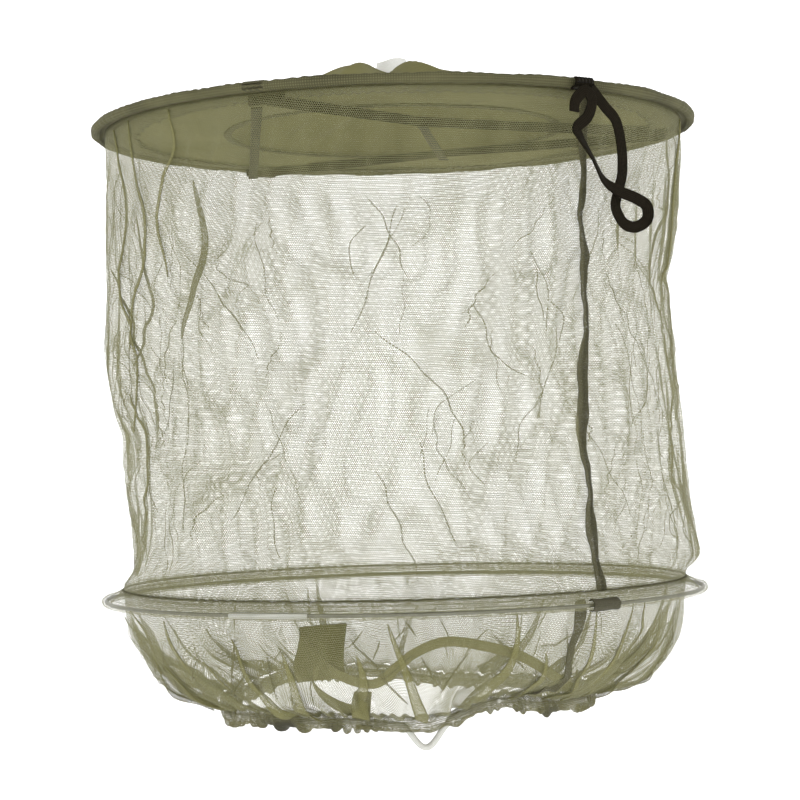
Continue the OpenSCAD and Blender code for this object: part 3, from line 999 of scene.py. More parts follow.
@dataclass
class Veil:
    """The tube of netting between the hoops, its pressed folds and its side seam."""

    sizes: Layout
    columns: int = 400
    rows: int = 104
    surplus: float = 0.05
    small_folds: int = 170
    steps: int = 22
    folds: tuple[Fold, ...] = (
        Fold(((197, -12), (195, -36), (196, -58), (200, -84), (203, -112)), 5.5 * MM),
        Fold(((-78, -4), (-80, -30), (-84, -60), (-82, -90)), 2.4 * MM),
        Fold(((-92, -4), (-92, -40), (-88, -66), (-96, -100), (-100, -125)), 2.6 * MM),
        Fold(((-100, -6), (-98, -50), (-102, -96), (-97, -130), (-104, -170)), 2.8 * MM),
        Fold(((-108, -80), (-98, -118), (-92, -150)), 2.4 * MM, True),
        Fold(((42, -4), (40, -40), (42, -78), (38, -104)), 3.0 * MM),
        Fold(((56, -4), (54, -44), (57, -90), (52, -134), (58, -170)), 3.4 * MM),
        Fold(((68, -4), (64, -36), (70, -74), (66, -110)), 2.6 * MM),
        Fold(((64, -120), (58, -152), (66, -186), (60, -214)), 2.4 * MM),
        Fold(((-104, -150), (-96, -186), (-102, -222)), 2.4 * MM),
        Fold(((-140, -40), (-146, -90), (-138, -130)), 2.6 * MM),
    )
    net: bpy.types.Object | None = field(default=None)

    def build_net(self) -> None:
        """The net: a buckled cylinder, let out to the height that it was cut to."""
        s = self.sizes
        rng = np.random.default_rng(11)
        h = np.linspace(0, 2 * math.pi, self.columns, endpoint=False)[:, None]
        v = np.linspace(0.0, 1.0, self.rows)[None, :]
        z = s.net_top + (s.net_foot - s.net_top) * v + 0 * h
        free = ease(v / 0.10) * ease((1 - v) / 0.06)
        low = ripple(rng, h, z, (3, 9), (12, 36), 12) * 2.4 * MM
        mid = ripple(rng, h, z, (12, 30), (14, 90), 16)
        ridge = (0.55 - np.abs(mid)) * 2.0 * MM
        push = (low + ridge) * free + self.sides(h, z) * ease((1 - v) / 0.06)
        points = around(s.net_r + push, h, z)
        girth = 2 * math.pi * s.net_r
        drop = (s.net_top - s.net_foot) * (1 + self.surplus)
        net = grid_mesh("veil_netting", points, np.linspace(0, girth, self.columns + 1),
                        np.linspace(0, drop, self.rows), (True, False), gather_and_shade=self.gather_and_shade_map(mid, v))
        cut_z = s.net_top - drop * v + 0 * h
        cut = around(s.net_r * 1.006 + 0.8 * self.sides(h, z), h, cut_z)
        held = np.where((v <= 0.02) | (v >= 0.985), 1.0, 0.0) + 0 * h
        settle(net, cut, held, self.steps, 0.25, 6.0)
        self.net = net

    def sides(self, heading: np.ndarray, height: np.ndarray) -> np.ndarray:
        """How the net hangs out and draws in at its two slack sides, and flares under the rim.

        Each side is a curve through a few heights, weighted by a bell round that side's heading.

        Args:
            heading: heading of each point, in radians.
            height: its height.

        Returns:
            How far each point is pushed outward.
        """
        flare = 4.5 * MM * (1 - ease((self.sizes.net_top - height) / (34 * MM)))
        level = np.array([-290, -240, -212, -171, -154, -125, -90, -67, -35, 0]) * MM
        push = np.zeros(height.shape)
        left_out = np.array([0, -2, -3, -4, 1, 8, 3, 5, 4, 0]) * MM
        right_out = np.array([5, 7, 6, 6, 5, 1, -10, -5, -2, 0]) * MM
        for middle, out in ((-123, left_out), (57, right_out)):
            away = (heading - math.radians(middle) + math.pi) % (2 * math.pi) - math.pi
            push = push + np.interp(height, level, out) * np.exp(-((away / 0.62) ** 2))
        return push + flare

    def gather_and_shade_map(self, mid: np.ndarray, v: np.ndarray) -> np.ndarray:
        """How gathered the net is, which also sets its painted shade: along its hems, and softly where it
        bunches along the ripples' ridges.

        Args:
            mid: the net's middle-sized ripples.
            v: share of the way down.

        Returns:
            A share from 0 to 0.9 at each point.
        """
        # painted shade: soft darker bands along the ridges that the middle ripples push out
        bunched_shade = np.clip(0.45 - np.abs(mid), 0, 0.45) * 0.3
        hem = 0.45 * (1 - ease(v / 0.012)) + 0.35 * (1 - ease((1 - v) / 0.012)) + 0.0 * mid
        return np.clip(bunched_shade * ease(v / 0.1) + hem, 0, 0.9)

    def on_net(self, heading: np.ndarray, height: np.ndarray) -> np.ndarray:
        """Points of the settled net, blended from the four grid points round each place.

        Args:
            heading: headings in radians.
            height: heights, which are turned to rows by share of the net's drop.

        Returns:
            Points, with a last axis of three.
        """
        s = self.sizes
        grid = points_of(self.net).reshape(self.columns, self.rows, 3)
        u = (heading / (2 * math.pi) * self.columns) % self.columns
        v = np.clip((s.net_top - height) / (s.net_top - s.net_foot), 0, 0.9999) * (self.rows - 1)
        i, j = np.floor(u).astype(int), np.floor(v).astype(int)
        fu, fv = (u - i)[..., None], (v - j)[..., None]
        i, i2 = i % self.columns, (i + 1) % self.columns
        upper = grid[i, j] * (1 - fu) + grid[i2, j] * fu
        lower = grid[i, j + 1] * (1 - fu) + grid[i2, j + 1] * fu
        return upper * (1 - fv) + lower * fv

    def build_folds(self) -> list[bpy.types.Object]:
        """Wide folds of doubled netting, and fine pressed creases, both laid on the net.

        Returns:
            The broad folds and the fine creases.
        """
        s = self.sizes
        steps = 25
        wide = np.stack([
            smooth_path(np.array(f.route, float), 24)[
                np.linspace(0, 24 * (len(f.route) - 1), steps).astype(int)] for f in self.folds])
        sway = np.sin(np.linspace(0, 9, steps))[None, :] * 0.5
        paths = self.on_net(np.radians(wide[..., 0] + sway), wide[..., 1] * MM)
        side = np.array([-1.0 if f.inside else 1.0 for f in self.folds])
        # painted shade: the broad folds are darker along their edges, through the gathering value
        broad = strips_mesh("veil_broad_folds", paths, np.array([f.width for f in self.folds]),
                            0.7 * MM * side, 0.5, 0.12)
        thicken(broad, 0.5 * MM)
        dress(broad, FOLD_NET.material())
        rng = np.random.default_rng(5)
        n = self.small_folds
        start = rng.choice([57.0, -123.0, -33.0, 147.0], n, p=[0.42, 0.40, 0.07, 0.11])
        start = start + rng.normal(0, 25, n)
        top = rng.uniform(s.net_foot / MM + 40, s.net_top / MM - 14, n)
        length = rng.uniform(16, 66, n)
        lean = rng.normal(0, 6, n) * length / 40
        bow = rng.normal(0, 2.2, n)
        share = np.linspace(0, 1, steps)[None, :]
        heading = start[:, None] + lean[:, None] * share + bow[:, None] * np.sin(math.pi * share)
        wobble = 0.35 * np.sin(share * rng.uniform(8, 22, (n, 1)) + rng.uniform(0, 6, (n, 1)))
        height = np.maximum(top[:, None] - length[:, None] * share, s.net_foot / MM + 3)
        paths = self.on_net(np.radians(heading + wobble), height * MM)
        # painted shade: the fine creases are darker along their middles, through the gathering value
        fine = strips_mesh("veil_fine_creases", paths, rng.uniform(0.35, 0.8, n) * MM,
                           0.35 * MM * rng.choice([-1.0, 1.0], n), 0.15, 0.3)
        thicken(fine, 0.25 * MM)
        dress(fine, CREASE_NET.material())
        return [broad, fine]

    def build_seam(self) -> list[bpy.types.Object]:
        """The side seam: a puckered allowance with an overlocked edge, down the net's first column.

        Returns:
            The seam and its overlock stitches.
        """
        s = self.sizes
        n = 160
        t = np.linspace(0, 1, n)
        height = s.net_top + (s.net_foot - s.net_top) * t
        drift = np.interp(t, [0, 0.4, 0.68, 0.87, 1], [3.4, 3.4, 2.8, 4.6, 6.6])
        heading = np.radians(drift + 0.3 * np.sin(t * 17) + 0.3 * np.sin(t * 41 + 1))
        path = self.on_net(heading, height)
        path += unit(path * np.array([1.0, 1.0, 0.0])) * 1.0 * MM
        width = (3.8 + 2.6 * t + 1.2 * np.sin(t * 23) + 0.7 * np.sin(t * 57 + 2)) * MM
        roll = 0.35 * np.sin(t * 13) + 0.25 * np.sin(t * 37 + 1)
        band = tape_mesh("veil_side_seam", path, width, 0.7 * MM, Facing.OUT, roll, 0.35 * MM)
        dress(band, SEAM_NET.material())
        face, side = frames_along(path, Facing.OUT, roll)
        one = path - side * (width[:, None] * 0.48) + face * 0.55 * MM
        two = path + side * (width[:, None] * 0.10) + face * 0.65 * MM
        thread = zigzag(one, two, 150, 0.24 * MM, "veil_seam_overlock")
        dress(thread, OVERLOCK.material())
        return [band, thread]

    def build(self) -> None:
        """Build the veil's pieces, and let them ride on the crown."""
        self.build_net()
        folds = self.build_folds()
        seam = self.build_seam()
        thicken(self.net, 0.28 * MM)
        dress(self.net, VEIL_NET.material())
        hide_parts("veil_net")
        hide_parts("veil_seam")
        for piece in [self.net, *folds, *seam]:
            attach(piece, "crown")
            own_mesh(piece)
            LOG.info("%s: %d faces", piece.name, len(piece.data.polygons))


# ---------------------------------------------------------------- crown


@dataclass
class Crown:
    """The cloth top: a flat panel, a soft pocket, a bound rim and the netting's pleated hem."""

    sizes: Layout
    panel_t: float = 0.8 * MM
    flange: float = 14 * MM

    def build_panel(self) -> None:
        """The panel: a flat ring that sags a little, with pulls from the rim and two pressed pleats."""
        s = self.sizes
        rng = np.random.default_rng(3)
        h = np.linspace(0, 2 * math.pi, 480, endpoint=False)[:, None]
        r = np.linspace(s.crown_r - 1 * MM, s.panel_r, 44)[None, :]
        t = (r - r.min()) / (r.max() - r.min())
        sag = -1.3 * MM * np.sin(math.pi * t) + 0 * h
        pulls = ripple(rng, h, r, (60, 120), (0, 40), 10) * 0.28 * MM
        pulls = pulls * ease((t - 0.35) / 0.65) * ease((1 - t) / 0.1)
        slack = ripple(rng, h, r, (3, 11), (10, 50), 10) * 0.7 * MM * np.sin(math.pi * t)
        x, y = r * np.sin(h), -r * np.cos(h)
        z = sag + pulls + slack
        for degrees, shift, width in ((62, 52 * MM, 1.6 * MM), (148, 110 * MM, 1.3 * MM)):
            angle = math.radians(degrees)
            off = x * math.cos(angle) + y * math.sin(angle) - shift
            z = z - 1.1 * MM * np.exp(-((off / width) ** 2)) * np.sin(math.pi * t)
        points = np.stack([x, y, z], axis=-1)
        panel = grid_mesh("crown_panel", points[:, ::-1], np.append(h, 2 * math.pi) * 0.13,
                          r.ravel()[::-1], (True, False))
        flat = points[:, ::-1][..., :2]
        self.plan_uv(panel, flat)
        thicken(panel, self.panel_t)
        place(panel, CROWN_CLOTH.material(), "crown", "top_panel")

    def plan_uv(self, obj: bpy.types.Object, xy: np.ndarray) -> None:
        """Give a piece UVs that are its plan position, as cloth cut from one flat piece has.

        Args:
            obj: the piece.
            xy: plan position of each of its points.
        """
        index = np.empty(len(obj.data.loops), np.int32)
        obj.data.loops.foreach_get("vertex_index", index)
        uv = xy.reshape(-1, 2)[index]
        obj.data.uv_layers[0].data.foreach_set("uv", uv.astype(np.float32).ravel())

    def build_pocket(self) -> None:
        """The pocket: a low dome whose cloth is too large, so that it buckles into soft folds."""
        s = self.sizes
        rng = np.random.default_rng(8)
        h = np.linspace(0, 2 * math.pi, 300, endpoint=False)[:, None]
        t = np.linspace(0.0, 1.0, 60)[None, :]
        r = s.crown_r * t
        dome = (s.crown_top - 1.5 * MM) * (1 - t**2.2) ** 0.85 + 0 * h
        folds = ripple(rng, h, r, (2, 7), (20, 70), 12) * 2.6 * MM * t * (1 - t) * 3.2
        ridge = (0.5 - np.abs(ripple(rng, h, r, (5, 12), (10, 60), 12))) * 2.2 * MM
        ridge = ridge * ease(t / 0.3) * ease((1 - t) / 0.2)
        gathers = np.cos(64 * h + 2 * np.sin(5 * h)) * 0.5 * MM * ease((t - 0.75) / 0.25)
        z = dome + folds + ridge + gathers
        r = r + gathers * 0.4
        points = around(r, h, z)[:, ::-1]
        pocket = grid_mesh("crown_pocket_cloth", points, np.append(h, 2 * math.pi), 1 - t.ravel(),
                           (True, False))
        self.plan_uv(pocket, points[..., :2] * 1.15)
        weld = pocket.modifiers.new("close_top", "WELD")
        weld.merge_threshold = 1e-5
        thicken(pocket, self.panel_t)
        place(pocket, CROWN_CLOTH.material(), "crown", "crown_pocket")

    def build_seam(self) -> None:
        """The pocket's seam: a puckered allowance under the panel, with a row of stitches."""
        s = self.sizes
        h = np.linspace(0, 2 * math.pi, 480, endpoint=False)
        r = s.crown_r + 0.4 * MM + 0.25 * MM * np.sin(57 * h)
        z = -1.3 * MM + 0.25 * MM * np.sin(83 * h + 1)
        path = np.concatenate([plan(r, h), z[:, None]], axis=1)
        turn = np.linspace(0, 2 * math.pi, 14, endpoint=False)
        out = np.sign(np.cos(turn)) * np.abs(np.cos(turn)) ** 0.5 * 2.2 * MM
        up = np.sin(turn) * 0.5 * MM
        ring = plan(1.0, h)[:, None] * out[None, :, None]
        frill = 0.3 * MM * np.sin(130 * h)[:, None, None] * (np.abs(out) / (2.2 * MM))[None, :, None]
        high = path[:, None, 2:] + up[None, :, None] + frill
        points = np.concatenate([path[:, None, :2] + ring, high], axis=-1)
        seam = grid_mesh("crown_seam_allowance", points, np.append(h, 2 * math.pi) * s.crown_r,
                         np.append(turn, 2 * math.pi) * 1.2 * MM, (True, True))
        place(seam, BINDING_TAPE.material(), "crown", "crown_seam")
        stitches = 190
        a = np.arange(stitches) * 2 * math.pi / stitches
        row = stitches_mesh("crown_seam_stitches", around(s.crown_r, a, -2.0 * MM),
                            around(s.crown_r, a + 0.023, -2.0 * MM), 0.25 * MM)
        place(row, BAR_TACK.material(), "crown")

    def build_rim(self) -> None:
        """The binding: tape round the wire, and a flange that grips the panel."""
        s = self.sizes
        rng = np.random.default_rng(21)
        h = np.linspace(0, 2 * math.pi, 900, endpoint=False)[:, None]
        turn = np.radians(np.linspace(-158, 158, 22))
        flange_in, half = s.hoop_r - self.flange, 1.2 * MM
        tube = np.stack([s.hoop_r + s.binding_r * np.cos(turn), s.binding_r * np.sin(turn)], axis=-1)
        lip_x = np.array([s.hoop_r - 4.5 * MM, s.hoop_r - 8 * MM, flange_in + 1 * MM, flange_in])
        top = np.stack([lip_x, np.array([1.0, 1.0, 1.0, 0.4]) * half], axis=-1)
        section = np.vstack([tube, top, (top * np.array([1, -1]))[::-1]])
        outline = np.vstack([section, section[:1]])
        girth = np.concatenate([[0], np.cumsum(np.linalg.norm(np.diff(outline, axis=0), axis=1))])
        ahead = np.roll(section, -1, 0) - np.roll(section, 1, 0)
        normal = unit(np.stack([ahead[:, 1], -ahead[:, 0]], axis=-1))
        spread = girth[None, :-1]
        pucker = 0.12 * MM * ripple(rng, h, spread, (120, 210), (0, 900), 14)
        lumps = 0.16 * MM * ripple(rng, h, spread, (9, 40), (0, 300), 10)
        push = (pucker + lumps)[..., None] * normal[None]
        rz = section[None] + push
        points = around(rz[..., 0], h, rz[..., 1])
        rim = grid_mesh("rim_binding", points, np.append(h, 2 * math.pi) * s.hoop_r, girth, (True, True))
        thicken(rim, 0.3 * MM)
        place(rim, BINDING_TAPE.material(), "crown", "upper_hoop_binding")
        stitches, radius = 380, s.hoop_r - 4.6 * MM
        a = np.arange(stitches) * 2 * math.pi / stitches
        for name, high in (("rim_stitches_under", -1.5 * MM), ("rim_stitches_over", 1.5 * MM)):
            row = stitches_mesh(name, around(radius, a, high), around(radius, a + 0.011, high),
                                0.22 * MM)
            place(row, BAR_TACK.material(), "crown")

    def build_net_hem(self) -> None:
        """The netting's top hem: its allowance pressed inward under the panel, in fine pleats."""
        s = self.sizes
        h = np.linspace(0, 2 * math.pi, 1080, endpoint=False)[:, None]
        t = np.linspace(0.0, 1.0, 12)[None, :]
        scallop = 1.1 * MM * np.sin(41 * h + 3 * np.sin(7 * h)) + 0.6 * MM * np.sin(97 * h)
        r = s.net_r + 0.6 * MM + (-14 * MM + scallop) * t
        pleat = 0.55 * MM * np.cos(150 * h + 4 * np.sin(9 * h)) * (0.4 + 0.6 * t)
        z = s.net_top - 0.75 * MM - 0.9 * MM * np.sin(math.pi * t) * 0.4 + pleat - 1.1 * MM * t
        points = around(r, h, z)
        # painted shade: the gathering value darkens the pleats' hollows and a band next to the rim; it
        # also makes the netting denser and darker along the hem's inner edge
        ribs = np.clip(np.cos(150 * h + 4 * np.sin(9 * h)), 0, 1) * 0.25
        gather_and_shade = ribs + 0.75 * ease((t - 0.82) / 0.18) + 0.4 * (1 - ease(t / 0.15)) + 0 * h
        hem = grid_mesh("netting_top_hem", points[:, ::-1], np.append(h, 2 * math.pi) * s.net_r,
                        14 * MM * t.ravel()[::-1], (True, False), gather_and_shade=gather_and_shade[:, ::-1])
        thicken(hem, 0.3 * MM)
        place(hem, HEM_NET.material(), "crown")

    def build_tacks(self) -> None:
        """Bar tacks over the rim: thread that crosses the binding to and fro at each anchor."""
        s = self.sizes
        sweep = np.linspace(-2.0, 2.0, 30)
        tacks = []
        for heading in ANCHORS:
            a = np.radians(heading + sweep)
            reach = s.binding_r + 0.35 * MM
            edges = [around(s.hoop_r + reach * math.cos(e), a, reach * math.sin(e))
                     for e in (-1.2, -0.4, 0.4, 1.2)]
            for lower, upper in zip(edges[:-1], edges[1:]):
                tacks.append(zigzag(lower, upper, 22, 0.28 * MM, "rim_tack"))
        place(joined(tacks, "rim_bar_tacks"), BAR_TACK.material(), "crown", "rim_tacks")

    def build_label(self) -> None:
        """A blank satin label, folded once and standing in the top of the pocket."""
        s = self.sizes
        a = math.radians(-33)
        along = np.array([math.cos(a), math.sin(a), 0.0])
        across = np.array([-math.sin(a), math.cos(a), 0.0])
        u = np.linspace(-1, 1, 26)[:, None]
        v = np.linspace(0, 1, 30)[None, :]
        fold = np.cos(math.pi * v)  # over the top and down again
        high = (9.0 + 1.5 * np.sin(2.2 * u + 0.6)) * MM * np.sin(math.pi * v) - 1.5 * MM
        gap = fold * (0.8 + 0.5 * np.sin(3 * u)) * MM
        wide = 9.5 * MM * u * (1 - 0.12 * np.sin(math.pi * v))
        curl = 1.6 * MM * np.sin(2.6 * u) * np.sin(math.pi * v)
        points = (along * wide[..., None] + across * (gap + curl)[..., None]
                  + np.array([0, 0, 1.0]) * (s.crown_top - 0.5 * MM + high)[..., None])
        label = grid_mesh("blank_label", points, 9.5 * MM * u.ravel(), 24 * MM * v.ravel())
        thicken(label, 0.25 * MM)
        place(label, LABEL_SATIN.material(), "crown", "crown_label")

    def build(self) -> None:
        """Build every piece of the crown."""
        self.build_panel()
        self.build_pocket()
        self.build_seam()
        self.build_rim()
        self.build_net_hem()
        self.build_tacks()
        self.build_label()


# ---------------------------------------------------------------- harness and storage loop


@dataclass
class Harness:
    """Three elastic straps on the head side of the panel, a link between two, and three rim tabs."""

    sizes: Layout
    width: float = 6 * MM
    thick: float = 1.2 * MM
    top: float = -1.6 * MM
    knot_near: tuple[float, float] = (-22 * MM, -64 * MM)
    knot_far: tuple[float, float] = (56 * MM, 32 * MM)
    spread: float = 2.4
    end_r: float = 156 * MM

    def strap(self, name: str, node: str, route: list, flat: bool, sag: float, roll: float) -> None:
        """One strap along plan points, sagging a little and turning on its edge.

        Args:
            name: the piece's name.
            node: the CAD node it stands for.
            route: plan points.
            flat: whether it lies flat under the others.
            sag: drop at mid-length.
            roll: turn about its length at its middle, in radians.
        """
        knots = np.array(route, float)
        xy = smooth_path(knots, 40) if len(knots) == 2 else self.bent(knots)
        t = np.linspace(0, 1, len(xy))
        mid = self.top - self.width / 2
        z = (mid - self.width / 2 - self.thick / 2 if flat else mid) - sag * np.sin(math.pi * t)
        path = np.column_stack([xy, z + 0 * t])
        lean = roll * np.sin(math.pi * t) + (math.pi / 2 if flat else 0.0)
        wave = 0.12 * np.sin(t * 9)
        band = tape_mesh(name, path, self.width * (1 - 0.1 * np.sin(math.pi * t)), self.thick,
                         Facing.SIDE, lean + wave)
        place(band, HARNESS_ELASTIC.material(), "crown", node)

    def bent(self, route: np.ndarray) -> np.ndarray:
        """Straight runs through three plan points, eased round the middle one.

        Args:
            route: three plan points.

        Returns:
            Ninety plan points.
        """
        t = np.linspace(0, 1, 90)[:, None]
        knee = 0.5
        first = route[0] + (route[1] - route[0]) * t / knee
        second = route[1] + (route[2] - route[1]) * (t - knee) / knee
        blend = ease((t - knee + 0.04) / 0.08)
        return first * (1 - blend) + second * blend

    def rim(self, angle: float) -> list[float]:
        """The plan point where a strap ends, at a heading in degrees."""
        return plan(self.end_r, math.radians(angle)).tolist()

    def build(self) -> None:
        """Build the straps, the link and the tabs."""
        left, right, back = ANCHORS
        near, far = np.array(self.knot_near), np.array(self.knot_far)
        run = unit(far - near)
        self.strap("harness_near_strap", "harness_strap_near",
                   [self.rim(left), near.tolist(), self.rim(right - self.spread)], False, 1.0 * MM, 0.5)
        self.strap("harness_far_strap", "harness_strap_far",
                   [self.rim(back), far.tolist(), self.rim(right + self.spread)], False, 1.0 * MM, -0.35)
        self.strap("harness_side_strap", "harness_strap_side",
                   [self.rim(left - self.spread), self.rim(back + self.spread)], True, 1.5 * MM, 0.3)
        self.strap("harness_link_strap", "harness_link",
                   [(near - run * 4 * MM).tolist(), (far + run * 10 * MM).tolist()],
                   True, 0.5 * MM, 0.15)
        tabs = []
        for heading in ANCHORS:
            a = np.radians(heading + np.linspace(-3.6, 3.6, 24))
            path = around(self.end_r + 1.5 * MM, a, -4.3 * MM)
            tabs.append(tape_mesh("tab", path, 5.8 * MM, 2.4 * MM, Facing.SIDE, 0.0, 0.2 * MM))
        place(joined(tabs, "harness_rim_tabs"), HARNESS_ELASTIC.material(), "crown", "harness_tabs")


@dataclass
class StorageLoop:
    """The black elastic loop that hangs outside the rim, and the stitching that holds it."""

    sizes: Layout
    width: float = 6 * MM
    thick: float = 1.2 * MM
    route: tuple[tuple[float, float, float], ...] = (
        (5, 0, -4), (14, 0, -13), (21, 0, -20), (24, 0, -33), (24, 0, -46), (21, 0, -56), (19, 0, -64),
        (23, -1, -72), (30, -2, -74), (37, -3, -70), (37, -3, -63), (29, -3, -59), (19, -2.6, -56),
        (10, -2.4, -51), (3, -2.4, -40), (-4, -2.2, -30), (-6, -2, -25), (1, -2, -19), (4, -2, -11),
        (0, -2, -6), (-6, -1.6, -11), (-7, -1.4, -17),
    )

    def build(self) -> None:
        """Build the loop along its hanging route, and the bar tack over a folded pad."""
        s = self.sizes
        seat_y = -(s.hoop_r + s.binding_r + 5 * MM)
        path = smooth_path(np.array(self.route) * MM, 8) + np.array([0, seat_y, 0.5 * MM])
        t = np.linspace(0, 1, len(path))
        roll = 0.75 * np.exp(-(((t - 0.66) / 0.07) ** 2)) - 0.6 * np.exp(-(((t - 0.45) / 0.05) ** 2))
        loop = tape_mesh("storage_loop_elastic", path, self.width, self.thick, Facing.OUT, roll)
        place(loop, BLACK_ELASTIC.material(), "storage_loop", "storage_loop")
        h = np.radians(LOOP_HEADING + np.linspace(-1.9, 1.9, 20))[:, None]
        e = np.linspace(-1.3, 0.5, 22)[None, :]
        r = s.binding_r + (0.8 + 2.2 * np.cos(e) ** 4 + 0.15 * np.sin(9 * h * 57)) * MM
        pad = grid_mesh("storage_loop_pad", around(s.hoop_r + r * np.cos(e), h, r * np.sin(e)),
                        14 * MM * np.linspace(0, 1, 20), 9 * MM * np.linspace(0, 1, 22))
        thicken(pad, 0.8 * MM)
        place(pad, BLACK_ELASTIC.material(), "crown", "storage_loop_tack")
        a = np.radians(LOOP_HEADING + np.linspace(-1.6, 1.6, 30))
        lines = []
        for edges in ((-0.9, -0.5), (-0.1, 0.35)):
            pair = []
            for q in edges:
                reach = s.binding_r + (1.3 + 2.2 * math.cos(q) ** 4) * MM
                pair.append(around(s.hoop_r + reach * math.cos(q), a, reach * math.sin(q)))
            lines.append(zigzag(pair[0], pair[1], 20, 0.25 * MM, "tack"))
        place(joined(lines, "storage_loop_tack_thread"), BLACK_TACK.material(), "crown")


# ---------------------------------------------------------------- lower hoop and skirt


@dataclass
class LowerHoop:
    """The lower hoop's thin casing, its lapped end, and the gathered skirt below it."""

    sizes: Layout
    tube_r: float = 2.45 * MM
    pleats: int = 74

    def build_casing(self) -> None:
        """The casing: netting doubled round the wire, with a fin up to the veil's stitch line."""
        s = self.sizes
        rng = np.random.default_rng(31)
        h = np.linspace(0, 2 * math.pi, 760, endpoint=False)[:, None]
        turn = np.radians(np.linspace(-172, 128, 20))
        tube = np.stack([s.hoop_r + self.tube_r * np.cos(turn), s.lower_z + self.tube_r * np.sin(turn)],
                        axis=-1)
        tip = np.array([s.net_r, s.lower_z + 6.6 * MM])
        steps = np.linspace(0.25, 1.0, 6)[:, None]
        upper = tube[-1] + (tip - tube[-1]) * steps
        lower = (tube[0] + (tip - np.array([0, 0.5 * MM]) - tube[0]) * steps)[::-1]
        section = np.vstack([tube, upper, lower])
        outline = np.vstack([section, section[:1]])
        girth = np.concatenate([[0], np.cumsum(np.linalg.norm(np.diff(outline, axis=0), axis=1))])
        ahead = np.roll(section, -1, 0) - np.roll(section, 1, 0)
        normal = unit(np.stack([ahead[:, 1], -ahead[:, 0]], axis=-1))
        wrinkle = 0.14 * MM * ripple(rng, h, girth[None, :-1], (90, 190), (0, 500), 14)
        rz = section[None] + np.clip(wrinkle, -0.25 * MM, 0.6 * MM)[..., None] * normal[None]
        stitch_line = 0.8 * np.exp(-((rz[..., 0] - s.net_r) / (0.9 * MM)) ** 2) - 0.02
        casing = grid_mesh("lower_hoop_netting_casing", around(rz[..., 0], h, rz[..., 1]),
                           np.append(h, 2 * math.pi) * s.hoop_r, girth, (True, True), gather_and_shade=stitch_line)
        thicken(casing, 0.2 * MM)
        place(casing, CASING_NET.material(), "lower_hoop", "lower_hoop_casing")
        a = np.radians(4.0 + np.linspace(-3.4, 2.6, 30))[:, None]
        e = np.linspace(-2.0, 2.2, 26)[None, :]
        r = self.tube_r + (0.55 + 0.2 * np.sin(5 * e + 60 * a)) * MM
        lap = around(s.hoop_r + r * np.cos(e), a, s.lower_z + r * np.sin(e))
        end = grid_mesh("casing_lapped_end", lap,
                        17 * MM * np.linspace(0, 1, 30), 12 * MM * np.linspace(0, 1, 26),
                        gather_and_shade=np.full((30, 26), 0.55))
        thicken(end, 0.4 * MM)
        place(end, SEAM_NET.material(), "lower_hoop", "casing_overlap")

    @staticmethod
    def neck_rise(heading: np.ndarray) -> np.ndarray:
        """How far the hem is drawn up: bells near the front and at the back, and small waves.

        Args:
            heading: headings in radians.

        Returns:
            The rise at each heading.
        """
        away = (heading + math.radians(8) + math.pi) % (2 * math.pi) - math.pi
        back = (heading - math.radians(20) + math.pi) % (2 * math.pi) - math.pi
        rear = np.minimum(np.abs(heading % (2 * math.pi) - math.pi), math.pi) / 0.42
        waves = 1.3 * np.sin(5 * heading + 1) + 0.9 * np.sin(9 * heading + 2.5)
        return (6.5 * np.exp(-((away / math.radians(15)) ** 2)) + 2.5 * np.exp(-((back / 0.5) ** 2))
                + 9.0 * np.exp(-(rear**2)) + waves) * MM

    def arc(self, t: np.ndarray) -> np.ndarray:
        """The skirt's line in section: a straight run plus a bulge of sine shape.

        Args:
            t: share of the way down.

        Returns:
            Radius and height, along a last axis of two.
        """
        s = self.sizes
        top = np.array([s.net_r, s.skirt_top])
        foot = np.array([s.hem_r + s.hem_w / 2 + 0.3 * MM, s.hem_z + s.hem_h / 3])
        run = foot - top
        out = np.array([-run[1], run[0]]) / np.linalg.norm(run)
        out = out * np.sign(out[0])
        return top + run * t[..., None] + out * (14 * MM * np.sin(math.pi * t) ** 0.92)[..., None]

    def skirt_points(self, heading: np.ndarray, t: np.ndarray, lift: float = 0.0) -> np.ndarray:
        """The skirt's surface: its arc, pushed in and out by pleats that deepen towards the neck.

        Args:
            heading: heading in radians.
            t: share of the way down.
            lift: distance outward from the surface.

        Returns:
            Points, with a last axis of three.
        """
        rng = np.random.default_rng(47)
        rz = self.arc(t)
        fine = np.cos(self.pleats * heading + 3.1 * np.sin(6 * heading) + 0.6 * np.sin(9 * t))
        broad = ripple(rng, heading, t * 0.08, (9, 22), (5, 40), 12)
        sharp = 0.6 - np.abs(ripple(rng, heading, t * 0.08, (14, 30), (5, 30), 10))
        push = 2.0 * MM * fine * ease((t - 0.25) / 0.75) ** 1.4
        push = push + (2.6 * MM * broad + 3.4 * MM * sharp) * ease(t / 0.35) * ease((1 - t) / 0.25)
        r = rz[..., 0] + 0.75 * (push + lift)
        z = rz[..., 1] - 0.5 * (push + lift) + self.neck_rise(heading) * ease((t - 0.35) / 0.65)
        return around(r, heading + 0.012 * fine * ease((t - 0.4) / 0.6), z)

